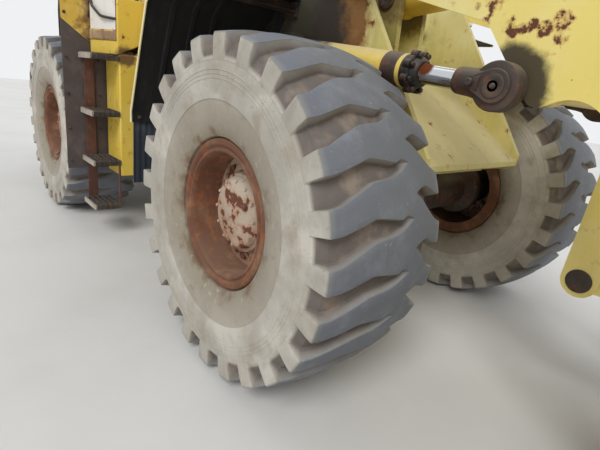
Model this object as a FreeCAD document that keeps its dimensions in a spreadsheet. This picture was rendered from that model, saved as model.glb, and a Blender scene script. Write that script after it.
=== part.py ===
import FreeCAD, Part
import math
import os
import re
from collections import namedtuple
from types import SimpleNamespace

V = FreeCAD.Vector

# A 22-tonne articulated wheel loader with a Z-bar bucket linkage, at full size in millimetres.
# +X is forward, +Y is the driver's left, +Z is up. Z = 0 is the ground and the origin lies under
# the middle of the machine. The rear frame carries engine, cab and rear axle; the front frame is
# hinged to it and carries the front axle, the boom tower and the bucket.

# Driving dimensions: alias, value or formula, meaning.
DIMENSIONS = [
    ("tyre_radius", 875, "radius over the lugs"),
    ("tyre_width", 675, "over the sidewalls"),
    ("lug_depth", 40, "height of the lugs over the tread base"),
    ("lugs_per_side", 24, "lugs on each half of the tread"),
    ("rim_radius", 318, "bead seat of the rim"),
    ("flange_radius", 380, "outer edge of the rim flange"),
    ("bead_height", 49, "thick part of the tyre over the rim flange"),
    ("rim_width", 520, "between the rim flanges"),
    ("track", 2200, "between the tyres' middle planes"),
    ("wheelbase", 3430, "between the axles"),
    ("front_axle_x", 1290, "front axle ahead of the origin"),
    ("pivot_x", -425, "frame hinge"),
    ("hub_radius", 150, "wheel hub seat on the axle"),
    ("spindle_radius", 90, "axle spindle"),
    ("running_gap", 0.3, "clearance of turning parts"),
    ("pin_gap", 0.05, "clearance of hinge pins"),
    ("side_gap", 8, "clearance beside moving plates"),
    ("tower_half", "=track/2-tyre_width/2-222.5", "outer face of the tower plates from the middle"),
    ("tower_plate", 35, "tower plate thickness"),
    ("boom_x", 860, "boom hinge, forward"),
    ("boom_z", 2330, "boom hinge, height"),
    ("boom_pin", 60, "boom hinge pin radius"),
    ("arm_inner", "=tower_half+15", "inner face of the boom arms"),
    ("arm_plate", 60, "boom arm thickness"),
    ("bucket_pin_x", 3120, "bucket hinge, forward"),
    ("bucket_pin_z", 420, "bucket hinge, height"),
    ("bucket_pin", 45, "bucket hinge pin radius"),
    ("lift_base_x", 850, "lift cylinder base pin, forward"),
    ("lift_base_z", 1728, "lift cylinder base pin, height"),
    ("lift_eye_x", 2200, "lift cylinder rod pin, forward"),
    ("lift_eye_z", 1610, "lift cylinder rod pin, height"),
    ("lift_plane", "=tower_half+128", "lift cylinder axis from the middle"),
    ("lift_bore", 45, "lift cylinder rod radius"),
    ("lift_barrel", 78, "lift cylinder barrel radius"),
    ("lift_gland", 94, "lift cylinder gland radius"),
    ("tilt_base_x", 1100, "tilt cylinder base pin, forward"),
    ("tilt_base_z", 2100, "tilt cylinder base pin, height"),
    ("crank_x", 2640, "bellcrank hinge, forward"),
    ("crank_z", 1700, "bellcrank hinge, height"),
    ("crank_top_x", 2415, "bellcrank top pin, forward"),
    ("crank_top_z", 2256, "bellcrank top pin, height"),
    ("crank_low_x", 2560, "bellcrank low pin, forward"),
    ("crank_low_z", 780, "bellcrank low pin, height"),
    ("link_x", 3225, "bucket end of the link, forward"),
    ("link_z", 790, "bucket end of the link, height"),
    ("bucket_half", 1475, "half of the bucket's width"),
    ("bucket_reach", 4340, "cutting edge, forward"),
    ("bucket_plate", 25, "bucket shell thickness"),
    ("bucket_heel", 3290, "back of the bucket, forward"),
    ("rear_end", -4340, "back of the counterweight"),
    ("frame_low", "=tyre_radius-185", "lower edge of both frames"),
    ("frame_rise", "=tyre_radius+223", "lower edge of the frames over the axles"),
    ("frame_top", "=tyre_radius+455", "top of the rear frame"),
    ("frame_half", "=tower_half-205", "outer face of the rear frame plates from the middle"),
    ("frame_plate", 35, "rear frame plate thickness"),
    ("cab_bottom", "=tyre_radius+825", "lower edge of the cab's skirt"),
    ("cab_floor", "=cab_bottom+300", "cab floor"),
    ("deck_z", "=cab_floor+50", "top of the cab platform"),
    ("hinge_pin", 8, "door hinge pin radius"),
    ("hitch_pin", 28, "tow hitch pin hole radius"),
    ("cab_front", -260, "cab front, forward"),
    ("cab_rear", -1700, "cab rear, forward"),
    ("cab_half", 800, "half of the cab's width"),
    ("cab_wall", 45, "cab post and wall thickness"),
    ("cab_top", "=cab_floor+1440", "under side of the roof"),
    ("roof_thickness", 110, "cab roof"),
    ("glass_thickness", 6, "cab glass"),
    ("ladder_outer", 1350, "outer ends of the treads from the middle"),
    ("column_outer", 1120, "outer face of the side boxes from the middle"),
    ("column_inner", 800, "inner face of the side boxes from the middle"),
    ("tyre_clear", 40, "between the rear tyres and the side boxes"),
    ("column_rear", "=front_axle_x-wheelbase+tyre_radius+tyre_clear", "back of the side boxes"),
    ("column_front", "=column_rear+345", "front of the side boxes"),
    ("board_x", "=column_rear-11", "front of the boards behind the ladders"),
    ("column_low", 570, "lower edge of the side boxes"),
    ("column_top", 1620, "top of the side boxes"),
    ("stringer", 30, "ladder strip width"),
    ("tread_thickness", 50, "ladder tread"),
    ("hood_half", 700, "half of the engine hood's width"),
    ("hood_top", 2560, "engine hood at its front"),
    ("hood_wall", 12, "engine hood plate"),
    ("hood_front", -1760, "front of the engine hood"),
    ("hood_rear", -3960, "back of the engine hood"),
    ("front_guard", "=track/2+300", "outer edge of the front fenders"),
    ("rear_guard", "=track/2+370", "outer edge of the rear fenders"),
    ("fender_top", "=2*tyre_radius+290", "top of the front fenders"),
    ("fender_sheet", 8, "fender thickness"),
    ("steer_base_x", -1150, "steering cylinder base pin, forward"),
    ("steer_base_y", "=frame_half+105", "steering cylinder base pin from the middle"),
    ("steer_eye_x", -160, "steering cylinder rod pin, forward"),
    ("steer_eye_y", "=frame_half+85", "steering cylinder rod pin from the middle"),
    ("steer_z", "=frame_low+300", "steering cylinders, height"),
    ("steer_rod", 28, "steering cylinder rod radius"),
    ("steer_barrel", 50, "steering cylinder barrel radius"),
    ("steer_pin", 30, "steering cylinder base pin radius"),
    ("steer_lug", 48, "steering cylinder eye radius"),
    ("fork_low", 36, "inner faces of the steering forks from their middle"),
    ("fork_high", 66, "outer faces of the steering forks from their middle"),
    ("rail_height", 850, "handrails over the platforms"),
]

doc = FreeCAD.newDocument("wheel_loader")
sheet = doc.addObject("Spreadsheet::Sheet", "Dims")
for row, (alias, value, meaning) in enumerate(DIMENSIONS, start=1):
    sheet.set(f"A{row}", alias)
    sheet.set(f"B{row}", str(value))
    sheet.set(f"C{row}", meaning)
    sheet.setAlias(f"B{row}", alias)
doc.recompute()
s = SimpleNamespace(**{alias: float(sheet.get(alias)) for alias, value, meaning in DIMENSIONS})

SIDES = (("right", -1), ("left", 1))
nodes = {}


def cells(text):
    """Turn the sheet's aliases in an expression into references."""
    return re.sub(r"[a-z][a-z_]+", lambda found: "Dims." + found.group(0), text)


def bind(item, sizes):
    """Tie an object's properties to the sheet."""
    for name, text in sizes.items():
        item.setExpression(name, cells(str(text)))
    return item


def box(label, x, y, z):
    """A box between two expressions along each axis."""
    item = doc.addObject("Part::Box", label)
    sizes = {}
    for size, letter, (low, high) in (("Length", "x", x), ("Width", "y", y), ("Height", "z", z)):
        sizes[size] = f"({high})-({low})"
        sizes["Placement.Base." + letter] = low
    return bind(item, sizes)


TURN = {
    "x": FreeCAD.Rotation(V(0, 1, 0), 90),
    "y": FreeCAD.Rotation(V(1, 0, 0), -90),
    "z": FreeCAD.Rotation(),
}


def rod(label, axis, low, high, centre, radius):
    """A round bar along one axis, between two expressions, about a centre."""
    item = doc.addObject("Part::Cylinder", label)
    item.Placement = FreeCAD.Placement(V(0, 0, 0), TURN[axis])
    others = [letter for letter in "xyz" if letter != axis]
    sizes = {"Height": f"({high})-({low})", "Radius": radius, "Placement.Base." + axis: low}
    for letter, place in zip(others, centre):
        sizes["Placement.Base." + letter] = place
    return bind(item, sizes)


def mirrored(side, inner, outer):
    """The low and high Y of something that lies between two distances from the middle."""
    if side > 0:
        return (inner, outer)
    return (f"-({outer})", f"-({inner})")


def corner(before, point, after, radius):
    """The two tangent points and the middle of the arc that rounds a corner."""
    a = (before - point).normalize()
    b = (after - point).normalize()
    half = a.getAngle(b) / 2
    reach = radius / math.tan(half)
    bisector = (a + b).normalize()
    centre = point + bisector * (radius / math.sin(half))
    return point + a * reach, centre - bisector * radius, point + b * reach


def outline(points):
    """Lines and arcs through corners given as (x, z) or (x, z, radius)."""
    corners = [V(p[0], p[1], 0) for p in points]
    count = len(points)
    ends = []
    for i, p in enumerate(points):
        if len(p) == 3:
            ends.append(corner(corners[i - 1], corners[i], corners[(i + 1) % count], p[2]))
        else:
            ends.append((corners[i], None, corners[i]))
    pieces = []
    for i, (first, middle, last) in enumerate(ends):
        if middle is not None:
            pieces.append(Part.Arc(first, middle, last))
        following = ends[(i + 1) % count][0]
        if last.distanceToPoint(following) > 0.01:
            pieces.append(Part.LineSegment(last, following))
    return pieces


def plane_of(body, role):
    """One of a body's own origin planes."""
    return [feature for feature in body.Origin.OriginFeatures if feature.Role == role][0]


def profile(label, plane, points, length, offset, holes):
    """A body padded from an outline on one of its own planes."""
    body = doc.addObject("PartDesign::Body", label)
    sketch = body.newObject("Sketcher::SketchObject", label + "_outline")
    sketch.AttachmentSupport = [(plane_of(body, plane), "")]
    sketch.MapMode = "FlatFace"
    bind(sketch, {"AttachmentOffset.Base.z": offset})
    sketch.addGeometry(outline(points), False)
    sketch.addGeometry([Part.Circle(V(a, b, 0), V(0, 0, 1), r) for a, b, r in holes], False)
    pad = body.newObject("PartDesign::Pad", label + "_pad")
    pad.Profile = sketch
    bind(pad, {"Length": length})
    return body


def plate(label, points, y, holes=()):
    """An upright plate from an (x, z) outline, between two expressions along Y."""
    return profile(label, "XZ_Plane", points, f"({y[1]})-({y[0]})", f"-({y[1]})", holes)


def flat_plate(label, points, z, holes=()):
    """A level plate from an (x, y) outline, between two expressions along Z."""
    return profile(label, "XY_Plane", points, f"({z[1]})-({z[0]})", z[0], holes)


def fuse(label, items, refine=True):
    """Pieces welded into one."""
    item = doc.addObject("Part::MultiFuse", label)
    item.Shapes = items
    item.Refine = refine
    return item


def cut(label, base, tool):
    """A piece less another."""
    item = doc.addObject("Part::Cut", label)
    item.Base = base
    item.Tool = tool
    return item


def solid(label, shape):
    """A piece whose form is worked out here."""
    item = doc.addObject("Part::Feature", label)
    item.Shape = shape
    return item


def node(name, item):
    """Name a finished sub-part."""
    item.Label = name
    nodes[name] = item


def hull(first, second, r_first, r_second):
    """Corners of a tapered bar round two pins, as a closed face in the XZ plane."""
    a = V(first[0], 0, first[1])
    b = V(second[0], 0, second[1])
    along = b - a
    length = along.Length
    along.normalize()
    across = V(-along.z, 0, along.x)
    lean = (r_first - r_second) / length
    rise = math.sqrt(1 - lean * lean)
    corners = []
    for sign in (1, -1):
        normal = along * lean + across * (sign * rise)
        corners.append((a + normal * r_first, b + normal * r_second))
    return corners, along, a, b


def bar(first, second, r_first, r_second, y):
    """A tapered flat bar with round ends between two pins, low and high along Y."""
    corners, along, a, b = hull(first, second, r_first, r_second)
    (top_a, top_b), (low_a, low_b) = corners
    edges = [
        Part.LineSegment(top_a, top_b),
        Part.Arc(top_b, b + along * r_second, low_b),
        Part.LineSegment(low_b, low_a),
        Part.Arc(low_a, a - along * r_first, top_a),
    ]
    wire = Part.Wire([edge.toShape() for edge in edges])
    face = Part.Face(wire)
    face.translate(V(0, y[0], 0))
    return face.extrude(V(0, y[1] - y[0], 0))


def cylinder_y(x, z, low, high, radius):
    """A round bar along Y."""
    return Part.makeCylinder(radius, high - low, V(x, low, z), V(0, 1, 0))


def revolve_y(points, x=0, z=0):
    """A turned piece about an axis along Y, from (y, radius) corners."""
    wire = Part.makePolygon([V(x, y, z + r) for y, r in points + points[:1]])
    return Part.Face(wire).revolve(V(x, 0, z), V(0, 1, 0), 360)


def facets(groups):
    """A closed solid from flat patches; a patch of four corners out of plane becomes two."""
    faces = []
    for corners in groups:
        flat = [corners]
        if len(corners) == 4:
            normal = (corners[1] - corners[0]).cross(corners[2] - corners[0])
            if abs(normal.normalize().dot(corners[3] - corners[0])) > 0.001:
                flat = [corners[:3], [corners[0], corners[2], corners[3]]]
        for patch in flat:
            faces.append(Part.Face(Part.makePolygon(patch + patch[:1])))
    shell = Part.makeShell(faces)
    return Part.Solid(shell)


def tyre_shape():
    """A lug tyre about the Y axis: staggered lugs on both halves join in the middle."""
    steps = int(s.lugs_per_side) * 2
    half = s.tyre_width / 2
    base = s.tyre_radius - s.lug_depth
    # Stations across the tread: distance from the middle, radius on a lug, radius beside it.
    stations = [
        (-half + 6, 0.845 * s.tyre_radius, 0.845 * s.tyre_radius),
        (-half, 0.962 * s.tyre_radius, None),
        (-0.17 * half, s.tyre_radius, base),
        (0.17 * half, s.tyre_radius, base),
        (half, 0.962 * s.tyre_radius, None),
        (half - 6, 0.845 * s.tyre_radius, 0.845 * s.tyre_radius),
    ]
    shoulder_base = 0.962 * s.tyre_radius - s.lug_depth
    lean = -math.radians(360 / steps) * 0.45
    # Where each station's cuts lie round the tyre: the lugs trail towards the middle.
    shift = [0, 0, lean, lean, 0, 0]
    sidewall = [(0.5 * half + 25, s.rim_radius + 4), (half - 70, s.flange_radius + s.bead_height),
                (half - 6, 0.70 * s.tyre_radius)]

    def point(station, step, raised):
        y, top, low = stations[station]
        if station in (1, 4):
            low = shoulder_base
            y = y if raised else y * 0.985
        radius = top if raised else low
        angle = 2 * math.pi * step / steps + shift[station]
        return V(radius * math.sin(angle), y, radius * math.cos(angle))

    patches = []
    for step in range(steps):
        nxt = (step + 1) % steps
        # Each half of the tread is raised on every other step.
        raised = {0: step % 2 == 0, 1: step % 2 == 0, 2: True, 3: step % 2 == 1, 4: step % 2 == 1}
        for strip in range(5):
            up = raised[strip]
            patches.append([point(strip, step, up), point(strip + 1, step, up),
                            point(strip + 1, nxt, up), point(strip, nxt, up)])
        # Walls beside the middle strip where the half next to it is low.
        for strip, station in ((1, 2), (3, 3)):
            if not raised[strip]:
                patches.append([point(station, step, True), point(station, step, False),
                                point(station, nxt, False), point(station, nxt, True)])
        # Lug ends: radial walls at every step, on both halves.
        for first, middle, last in ((0, 1, 2), (5, 4, 3)):
            patches.append([point(first, step, True), point(middle, step, True),
                            point(middle, step, False)])
            patches.append([point(middle, step, True), point(last, step, True),
                            point(last, step, False), point(middle, step, False)])
        for sign, station in ((-1, 0), (1, 5)):
            rings = [[V(r * math.sin(a), sign * y, r * math.cos(a))
                      for y, r in sidewall]
                     for a in (2 * math.pi * step / steps, 2 * math.pi * nxt / steps)]
            here = rings[0] + [point(station, step, True)]
            there = rings[1] + [point(station, nxt, True)]
            for i in range(len(sidewall)):
                patches.append([here[i], here[i + 1], there[i + 1], there[i]])
        # Bore.
        y, r = sidewall[0]
        a, b = 2 * math.pi * step / steps, 2 * math.pi * nxt / steps
        patches.append([V(r * math.sin(a), -y, r * math.cos(a)), V(r * math.sin(a), y, r * math.cos(a)),
                        V(r * math.sin(b), y, r * math.cos(b)), V(r * math.sin(b), -y, r * math.cos(b))])
    return facets(patches)


def rim_shape(side):
    """A wheel rim about the Y axis: barrel, flanges, disc and final-drive hub."""
    half = s.rim_width / 2
    wall = 14
    ring = revolve_y([
        (-half, s.rim_radius), (-half, s.flange_radius), (-half - 26, s.flange_radius),
        (-half - 26, s.rim_radius - wall), (half + 26, s.rim_radius - wall),
        (half + 26, s.flange_radius), (half, s.flange_radius), (half, s.rim_radius),
    ])
    bore = s.spindle_radius + s.pin_gap
    disc = revolve_y([
        (60, bore), (60, s.hub_radius + 60), (80, s.rim_radius - wall / 2), (105, s.rim_radius - wall / 2),
        (105, s.hub_radius + 70), (190, s.hub_radius + 20), (215, 60), (215, 0), (190, 0), (190, bore),
    ])
    shape = ring.fuse(disc).removeSplitter()
    if side < 0:
        shape = shape.mirror(V(0, 0, 0), V(0, 1, 0))
    return shape


def wheels():
    """Four wheels: a lug tyre and a rim each."""
    tyre = tyre_shape()
    places = (("front", s.front_axle_x), ("rear", s.front_axle_x - s.wheelbase))
    for end, x in places:
        for word, side in SIDES:
            seat = FreeCAD.Placement(V(x, side * s.track / 2, s.tyre_radius), FreeCAD.Rotation())
            rubber = solid(f"tyre_{end}_{word}", tyre)
            rubber.Placement = seat
            node(f"tyre_{end}_{word}", rubber)
            rim = solid(f"rim_{end}_{word}", rim_shape(side))
            rim.Placement = seat
            node(f"rim_{end}_{word}", rim)


def axles():
    """Drive axles: a bulged housing, arms, hub seats and spindles, with the shaft's flange."""
    inner = s.track / 2 - s.rim_width / 2 - 40
    seat = s.track / 2 + 60 - s.side_gap
    reach = s.track / 2 + 180
    for end, x, way in (("front", s.front_axle_x, -1), ("rear", s.front_axle_x - s.wheelbase, 1)):
        half = [(0, 216), (110, 208), (210, 180), (300, 150), (inner - 60, 140), (inner, 205),
                (inner + 60, 205), (inner + 60, 170), (seat, s.hub_radius), (seat, s.spindle_radius),
                (reach, s.spindle_radius), (reach, 0)]
        profile = [(-y, r) for y, r in reversed(half[1:])] + half
        housing = revolve_y(profile, x, s.tyre_radius)
        neck = Part.makeCone(170, 95, 360, V(x, 0, s.tyre_radius + 30), V(way, 0, 0))
        flange = Part.makeCylinder(110, 30, V(x + way * 360, 0, s.tyre_radius + 30), V(way, 0, 0))
        shaft = Part.makeCylinder(45, 110, V(x + way * 390, 0, s.tyre_radius + 30), V(way, 0, 0))
        pads = []
        for word, side in SIDES:
            y = side * (s.frame_half - 80)
            pads.append(Part.makeBox(260, 160, 123, V(x - 130, y - 80, s.tyre_radius + 100)))
        shape = housing.multiFuse([neck, flange, shaft] + pads).removeSplitter()
        node(end + "_axle", solid(end + "_axle", shape))


def hinge_ears(prefix, x_root, levels, holes=()):
    """Level ears of the frame hinge, with round noses at the hinge axis."""
    nose = 130
    tip = s.pivot_x + math.copysign(nose, s.pivot_x - x_root)
    ear = [(x_root, -nose - 120), (x_root, nose + 120), (tip, nose - 5, 105), (tip, 5 - nose, 105)]
    return [flat_plate(f"{prefix}_ear_{index}", ear, level, holes) for index, level in enumerate(levels)]


# Low and high faces of the hinge ears and of the steering forks.
FRONT_EAR_LEVELS = (("frame_low+80", "frame_low+130"), ("frame_low+480", "frame_low+530"))
REAR_EAR_LEVELS = (("frame_low+32", "frame_low+72"), ("frame_low+138", "frame_low+178"),
                   ("frame_low+432", "frame_low+472"), ("frame_low+538", "frame_low+578"))
HINGE_PIN_LEVELS = (("frame_low+25", "frame_low+185"), ("frame_low+425", "frame_low+585"))
FORK_LEVELS = (("steer_z-fork_high", "steer_z-fork_low"), ("steer_z+fork_low", "steer_z+fork_high"))


def front_frame():
    """The boom tower: two plates, the curved back plate, hinge ears, pins and cylinder seats."""
    tower = [
        (0, s.frame_low), (820, s.frame_low, 60), (960, s.frame_rise, 80), (1500, s.frame_rise, 40),
        (1790, s.frame_rise + 42), (1855, s.frame_rise + 77), (1855, s.frame_rise + 148),
        (1250, 2120, 60), (1080, 2480, 160), (700, 2520, 180), (560, 1950, 200), (160, 1330, 120), (0, 1300),
    ]
    pieces = []
    for word, side in SIDES:
        y = mirrored(side, "tower_half-tower_plate", "tower_half")
        pieces.append(plate(f"tower_{word}", tower, y))
        # Boom hinge pin and lift cylinder pin, carried by the plate.
        pieces.append(rod(f"boom_pin_{word}", "y",
                          *mirrored(side, "tower_half-tower_plate-60", "arm_inner+arm_plate+15"),
                          ("boom_x", "boom_z"), "boom_pin"))
        pieces.append(rod(f"boom_boss_{word}", "y",
                          *mirrored(side, "tower_half-tower_plate-60", "tower_half"),
                          ("boom_x", "boom_z"), "boom_pin+55"))
        pieces.append(rod(f"lift_pin_{word}", "y",
                          *mirrored(side, "tower_half-10", "lift_plane+48"),
                          ("lift_base_x", "lift_base_z"), "lift_bore"))
        pieces.append(rod(f"lift_boss_{word}", "y",
                          *mirrored(side, "tower_half-10", "lift_plane-44-side_gap"),
                          ("lift_base_x", "lift_base_z"), "lift_bore+8"))
    # Curved plate between the tower plates: it sweeps down and forward to the nose.
    sweep = [
        (760, 2460), (720, 2440), (900, 1800, 700), (1790, s.frame_rise + 52), (1855, s.frame_rise + 77),
        (1855, s.frame_rise + 107),
        (1000, 1830, 640), (800, 2380),
    ]
    middle = ("-(tower_half-tower_plate)", "tower_half-tower_plate")
    pieces.append(plate("tower_back", sweep, middle))
    pieces.append(box("tower_floor", ("0", "810"), middle, ("frame_low", "frame_low+35")))
    pieces.append(box("tower_rear", ("-40", "10"), ("-tower_half", "tower_half"),
                      ("frame_low", "frame_low+600")))
    pieces.append(box("tower_bridge", ("930", "1640"), middle, ("frame_rise", "frame_rise+32")))
    # Ears of the tilt cylinder on the curved plate.
    for word, side in SIDES:
        ear = [(s.tilt_base_x - 170, s.tilt_base_z - 330), (s.tilt_base_x + 120, s.tilt_base_z - 420),
               (s.tilt_base_x + 105, s.tilt_base_z + 95, 90), (s.tilt_base_x - 95, s.tilt_base_z + 105, 90)]
        pieces.append(plate(f"tilt_ear_{word}", ear, mirrored(side, "104", "144")))
    pieces.append(rod("tilt_pin", "y", "-150", "150", ("tilt_base_x", "tilt_base_z"), "45"))
    pieces += hinge_ears("front", 0, FRONT_EAR_LEVELS, [(s.pivot_x, 0, s.boom_pin + s.pin_gap)])
    # Forks for the steering rods on the rear plate.
    for word, side in SIDES:
        for index, (low, high) in enumerate(FORK_LEVELS):
            pieces.append(box(f"steer_fork_{word}_{index}", ("steer_eye_x-42", "0"),
                              mirrored(side, "steer_eye_y-50", "steer_eye_y+50"), (low, high)))
    node("front_frame", fuse("front_frame_parts", pieces, refine=False))


def rear_frame():
    """Two long plates, cross pieces, hinge ears and pins, and seats for the steering cylinders."""
    side_view = [
        (-640, s.frame_low), (-1500, s.frame_low, 80), (-1700, s.frame_rise, 80), (-2600, s.frame_rise, 80),
        (-2850, s.frame_low + 160, 80), (s.hood_rear, s.frame_low + 160), (s.hood_rear, s.frame_top),
        (-640, s.frame_top),
        (-640, s.steer_z + 75), (-890, s.steer_z + 75, 40), (-890, s.steer_z - 75, 40),
        (-640, s.steer_z - 75),
    ]
    pieces = []
    for word, side in SIDES:
        pieces.append(plate(f"long_plate_{word}", side_view,
                            mirrored(side, "frame_half-frame_plate", "frame_half")))
        for index, (low, high) in enumerate(FORK_LEVELS):
            pieces.append(box(f"steer_seat_{word}_{index}", ("steer_base_x-60", "steer_base_x+32"),
                              mirrored(side, "frame_half-10", "steer_base_y+50"), (low, high)))
        pieces.append(rod(f"steer_base_pin_{word}", "z", "steer_z-fork_high", "steer_z+fork_high",
                          ("steer_base_x", f"{side}*steer_base_y"), "steer_pin"))
    middle = ("-(frame_half-frame_plate)", "frame_half-frame_plate")
    for index, (low, high) in enumerate(((-680, -640), (-2680, -2640), (-3960, -3920))):
        foot = "frame_low" if index == 0 else "frame_rise"
        pieces.append(box(f"cross_{index}", (low, high), middle, (foot, "frame_top")))
    pieces.append(box("frame_floor", ("-1480", "-640"), middle, ("frame_low", "frame_low+30")))
    # Beams that reach out under the cab and the side boxes.
    for index, x in enumerate((-960, -1160)):
        pieces.append(box(f"outrigger_{index}", (x, x + 90), ("-column_inner", "column_inner"),
                          ("frame_top-80", "frame_top")))
    for index, (x, y) in enumerate(((-700, 318), (-700, -318), (-1620, 318), (-1620, -318))):
        pieces.append(rod(f"cab_mount_{index}", "z", "frame_top-10", "cab_bottom", (x, y), "60"))
        pieces.append(box(f"cab_foot_{index}", (x - 90, x + 90), (y - 90, y + 90),
                          ("cab_bottom-20", "cab_bottom")))
    for index, x in enumerate((-700, -1620)):
        pieces.append(box(f"cab_beam_{index}", (x - 40, x + 40), ("-cab_half", "cab_half"),
                          ("cab_bottom-70", "cab_bottom")))
    pieces += hinge_ears("rear", -650, REAR_EAR_LEVELS)
    for index, (low, high) in enumerate(HINGE_PIN_LEVELS):
        pieces.append(rod(f"hinge_pin_{index}", "z", low, high, ("pivot_x", "0"), "boom_pin"))
    node("rear_frame", fuse("rear_frame_parts", pieces))


# A cylinder's radii, half width of its eyes, and gland end and rod start from the base pin.
CylinderSizes = namedtuple("CylinderSizes", "rod barrel gland eye pin half_eye head start")
LIFT = CylinderSizes(rod=s.lift_bore, barrel=s.lift_barrel, gland=s.lift_gland, eye=100, pin=s.lift_bore,
                     half_eye=44, head=985, start=200)
TILT = CylinderSizes(rod=48, barrel=92, gland=98, eye=85, pin=45, half_eye=86, head=900, start=220)
GLAND_LENGTH = 85


def cylinder_pair(name, base, eye, plane, size):
    """A hydraulic cylinder in the XZ plane: barrel with gland and base eye, rod with rod eye."""
    a = V(base[0], plane, base[1])
    b = V(eye[0], plane, eye[1])
    along = (b - a).normalize()
    out = V(0, size.half_eye, 0)
    barrel = Part.makeCylinder(size.barrel, size.head - 100, a + along * 60, along)
    gland = Part.makeCylinder(size.gland, GLAND_LENGTH, a + along * (size.head - GLAND_LENGTH), along)
    base_eye = Part.makeCylinder(size.eye, 2 * size.half_eye, a - out, V(0, 1, 0))
    body = barrel.fuse(gland).fuse(base_eye)
    bore_start = a + along * (size.start - 40)
    body = body.cut(Part.makeCylinder(size.rod + s.running_gap, size.head, bore_start, along))
    pin_hole = Part.makeCylinder(size.pin + s.pin_gap, 2 * size.half_eye + 2, a - out - V(0, 1, 0),
                                 V(0, 1, 0))
    body = body.cut(pin_hole)
    node(name + "_barrel", solid(name + "_barrel", body.removeSplitter()))
    stick = Part.makeCylinder(size.rod, a.distanceToPoint(b) - size.start, a + along * size.start, along)
    rod_eye = Part.makeCylinder(size.eye, 2 * size.half_eye, b - out, V(0, 1, 0))
    node(name + "_rod", solid(name + "_rod", stick.fuse(rod_eye).removeSplitter()))


def lift_and_tilt_cylinders():
    """Two lift cylinders outside the boom arms and one tilt cylinder in the middle."""
    for word, side in SIDES:
        cylinder_pair(f"lift_cylinder_{word}", (s.lift_base_x, s.lift_base_z), (s.lift_eye_x, s.lift_eye_z),
                      side * s.lift_plane, LIFT)
    cylinder_pair("tilt_cylinder", (s.tilt_base_x, s.tilt_base_z), (s.crank_top_x, s.crank_top_z), 0, TILT)


def steering_cylinders():
    """Two steering cylinders across the frame hinge."""
    start, head, rod_start = 70, 615, 345
    half_eye = s.fork_low - 6
    up = V(0, 0, 1)
    for word, side in SIDES:
        a = V(s.steer_base_x, side * s.steer_base_y, s.steer_z)
        b = V(s.steer_eye_x, side * s.steer_eye_y, s.steer_z)
        along = (b - a).normalize()
        low = up * -half_eye
        body = Part.makeCylinder(s.steer_barrel, head - start, a + along * start, along)
        body = body.fuse(Part.makeCylinder(s.steer_rod + 1, 50, a + along * 25, along))
        body = body.fuse(Part.makeCylinder(s.steer_lug, 2 * half_eye, a + low, up))
        body = body.cut(Part.makeCylinder(s.steer_rod + s.running_gap, head, a + along * (start + 10), along))
        body = body.cut(Part.makeCylinder(s.steer_pin + s.pin_gap, 2 * half_eye + 2, a + low - up, up))
        node(f"steering_cylinder_{word}_barrel", solid(f"steer_barrel_{word}", body.removeSplitter()))
        stick = Part.makeCylinder(s.steer_rod, a.distanceToPoint(b) - rod_start, a + along * rod_start, along)
        stick = stick.fuse(Part.makeCylinder(s.steer_lug, 2 * half_eye, b + low, up))
        node(f"steering_cylinder_{word}_rod", solid(f"steer_rod_{word}", stick.removeSplitter()))


def boom():
    """Two cranked arms joined by a cross tube and the bellcrank's stub tubes and pin."""
    arm = [
        (s.boom_x - 150, s.boom_z + 160, 135), (1700, 2330, 400),
        (2640, 2170, 260), (2960, 1420, 500), (s.bucket_pin_x + 72, s.bucket_pin_z + 60, 90),
        (s.bucket_pin_x + 60, s.bucket_pin_z - 90, 75), (s.bucket_pin_x - 105, s.bucket_pin_z - 50, 80),
        (2700, 1300, 500), (2536, 1640, 150), (2321, 1530, 60), (2144, 1756, 60), (2061, 1864, 60),
        (1692, 1969), (s.boom_x + 30, s.boom_z - 150, 400), (s.boom_x - 150, s.boom_z - 140, 125),
    ]
    pieces = []
    for word, side in SIDES:
        y = mirrored(side, "arm_inner", "arm_inner+arm_plate")
        holes = [(s.boom_x, s.boom_z, s.boom_pin + s.pin_gap),
                 (s.bucket_pin_x, s.bucket_pin_z, s.bucket_pin + s.pin_gap)]
        pieces.append(plate(f"arm_{word}", arm, y, holes))
        pieces.append(rod(f"crank_stub_{word}", "y", *mirrored(side, "158", "arm_inner+5"),
                          ("crank_x", "crank_z"), "95"))
    pieces.append(rod("crank_pin", "y", "-160", "160", ("crank_x", "crank_z"), "boom_pin"))
    pieces.append(rod("cross_tube", "y", "-(arm_inner+5)", "arm_inner+5", ("2360", "1640"), "70"))
    node("boom", fuse("boom_parts", pieces, refine=False))


def bellcrank():
    """Two cheek plates on one hub, with the tilt rod between them on top and the link below."""
    pivot = (s.crank_x, s.crank_z)
    top = (s.crank_top_x, s.crank_top_z)
    low = (s.crank_low_x, s.crank_low_z)
    shape = cylinder_y(s.crank_x, s.crank_z, -150, 150, 108)
    for side in (-1, 1):
        y = sorted((side * 96, side * 150))
        shape = shape.fuse(bar(pivot, top, 110, 82, y)).fuse(bar(pivot, low, 110, 82, y))
    shape = shape.cut(cylinder_y(s.crank_x, s.crank_z, -151, 151, s.boom_pin + s.pin_gap))
    node("bellcrank", solid("bellcrank_shape", shape.removeSplitter()))


def tilt_link():
    """The straight link from the bellcrank to the bucket."""
    low = (s.crank_low_x, s.crank_low_z)
    end = (s.link_x, s.link_z)
    shape = bar(low, end, 75, 75, (-45, 45))
    for x, z in (low, end):
        shape = shape.fuse(cylinder_y(x, z, -88, 88, 75))
    shape = shape.cut(cylinder_y(s.link_x, s.link_z, -90, 90, 40 + s.pin_gap))
    node("tilt_link", solid("tilt_link_shape", shape.removeSplitter()))


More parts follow.
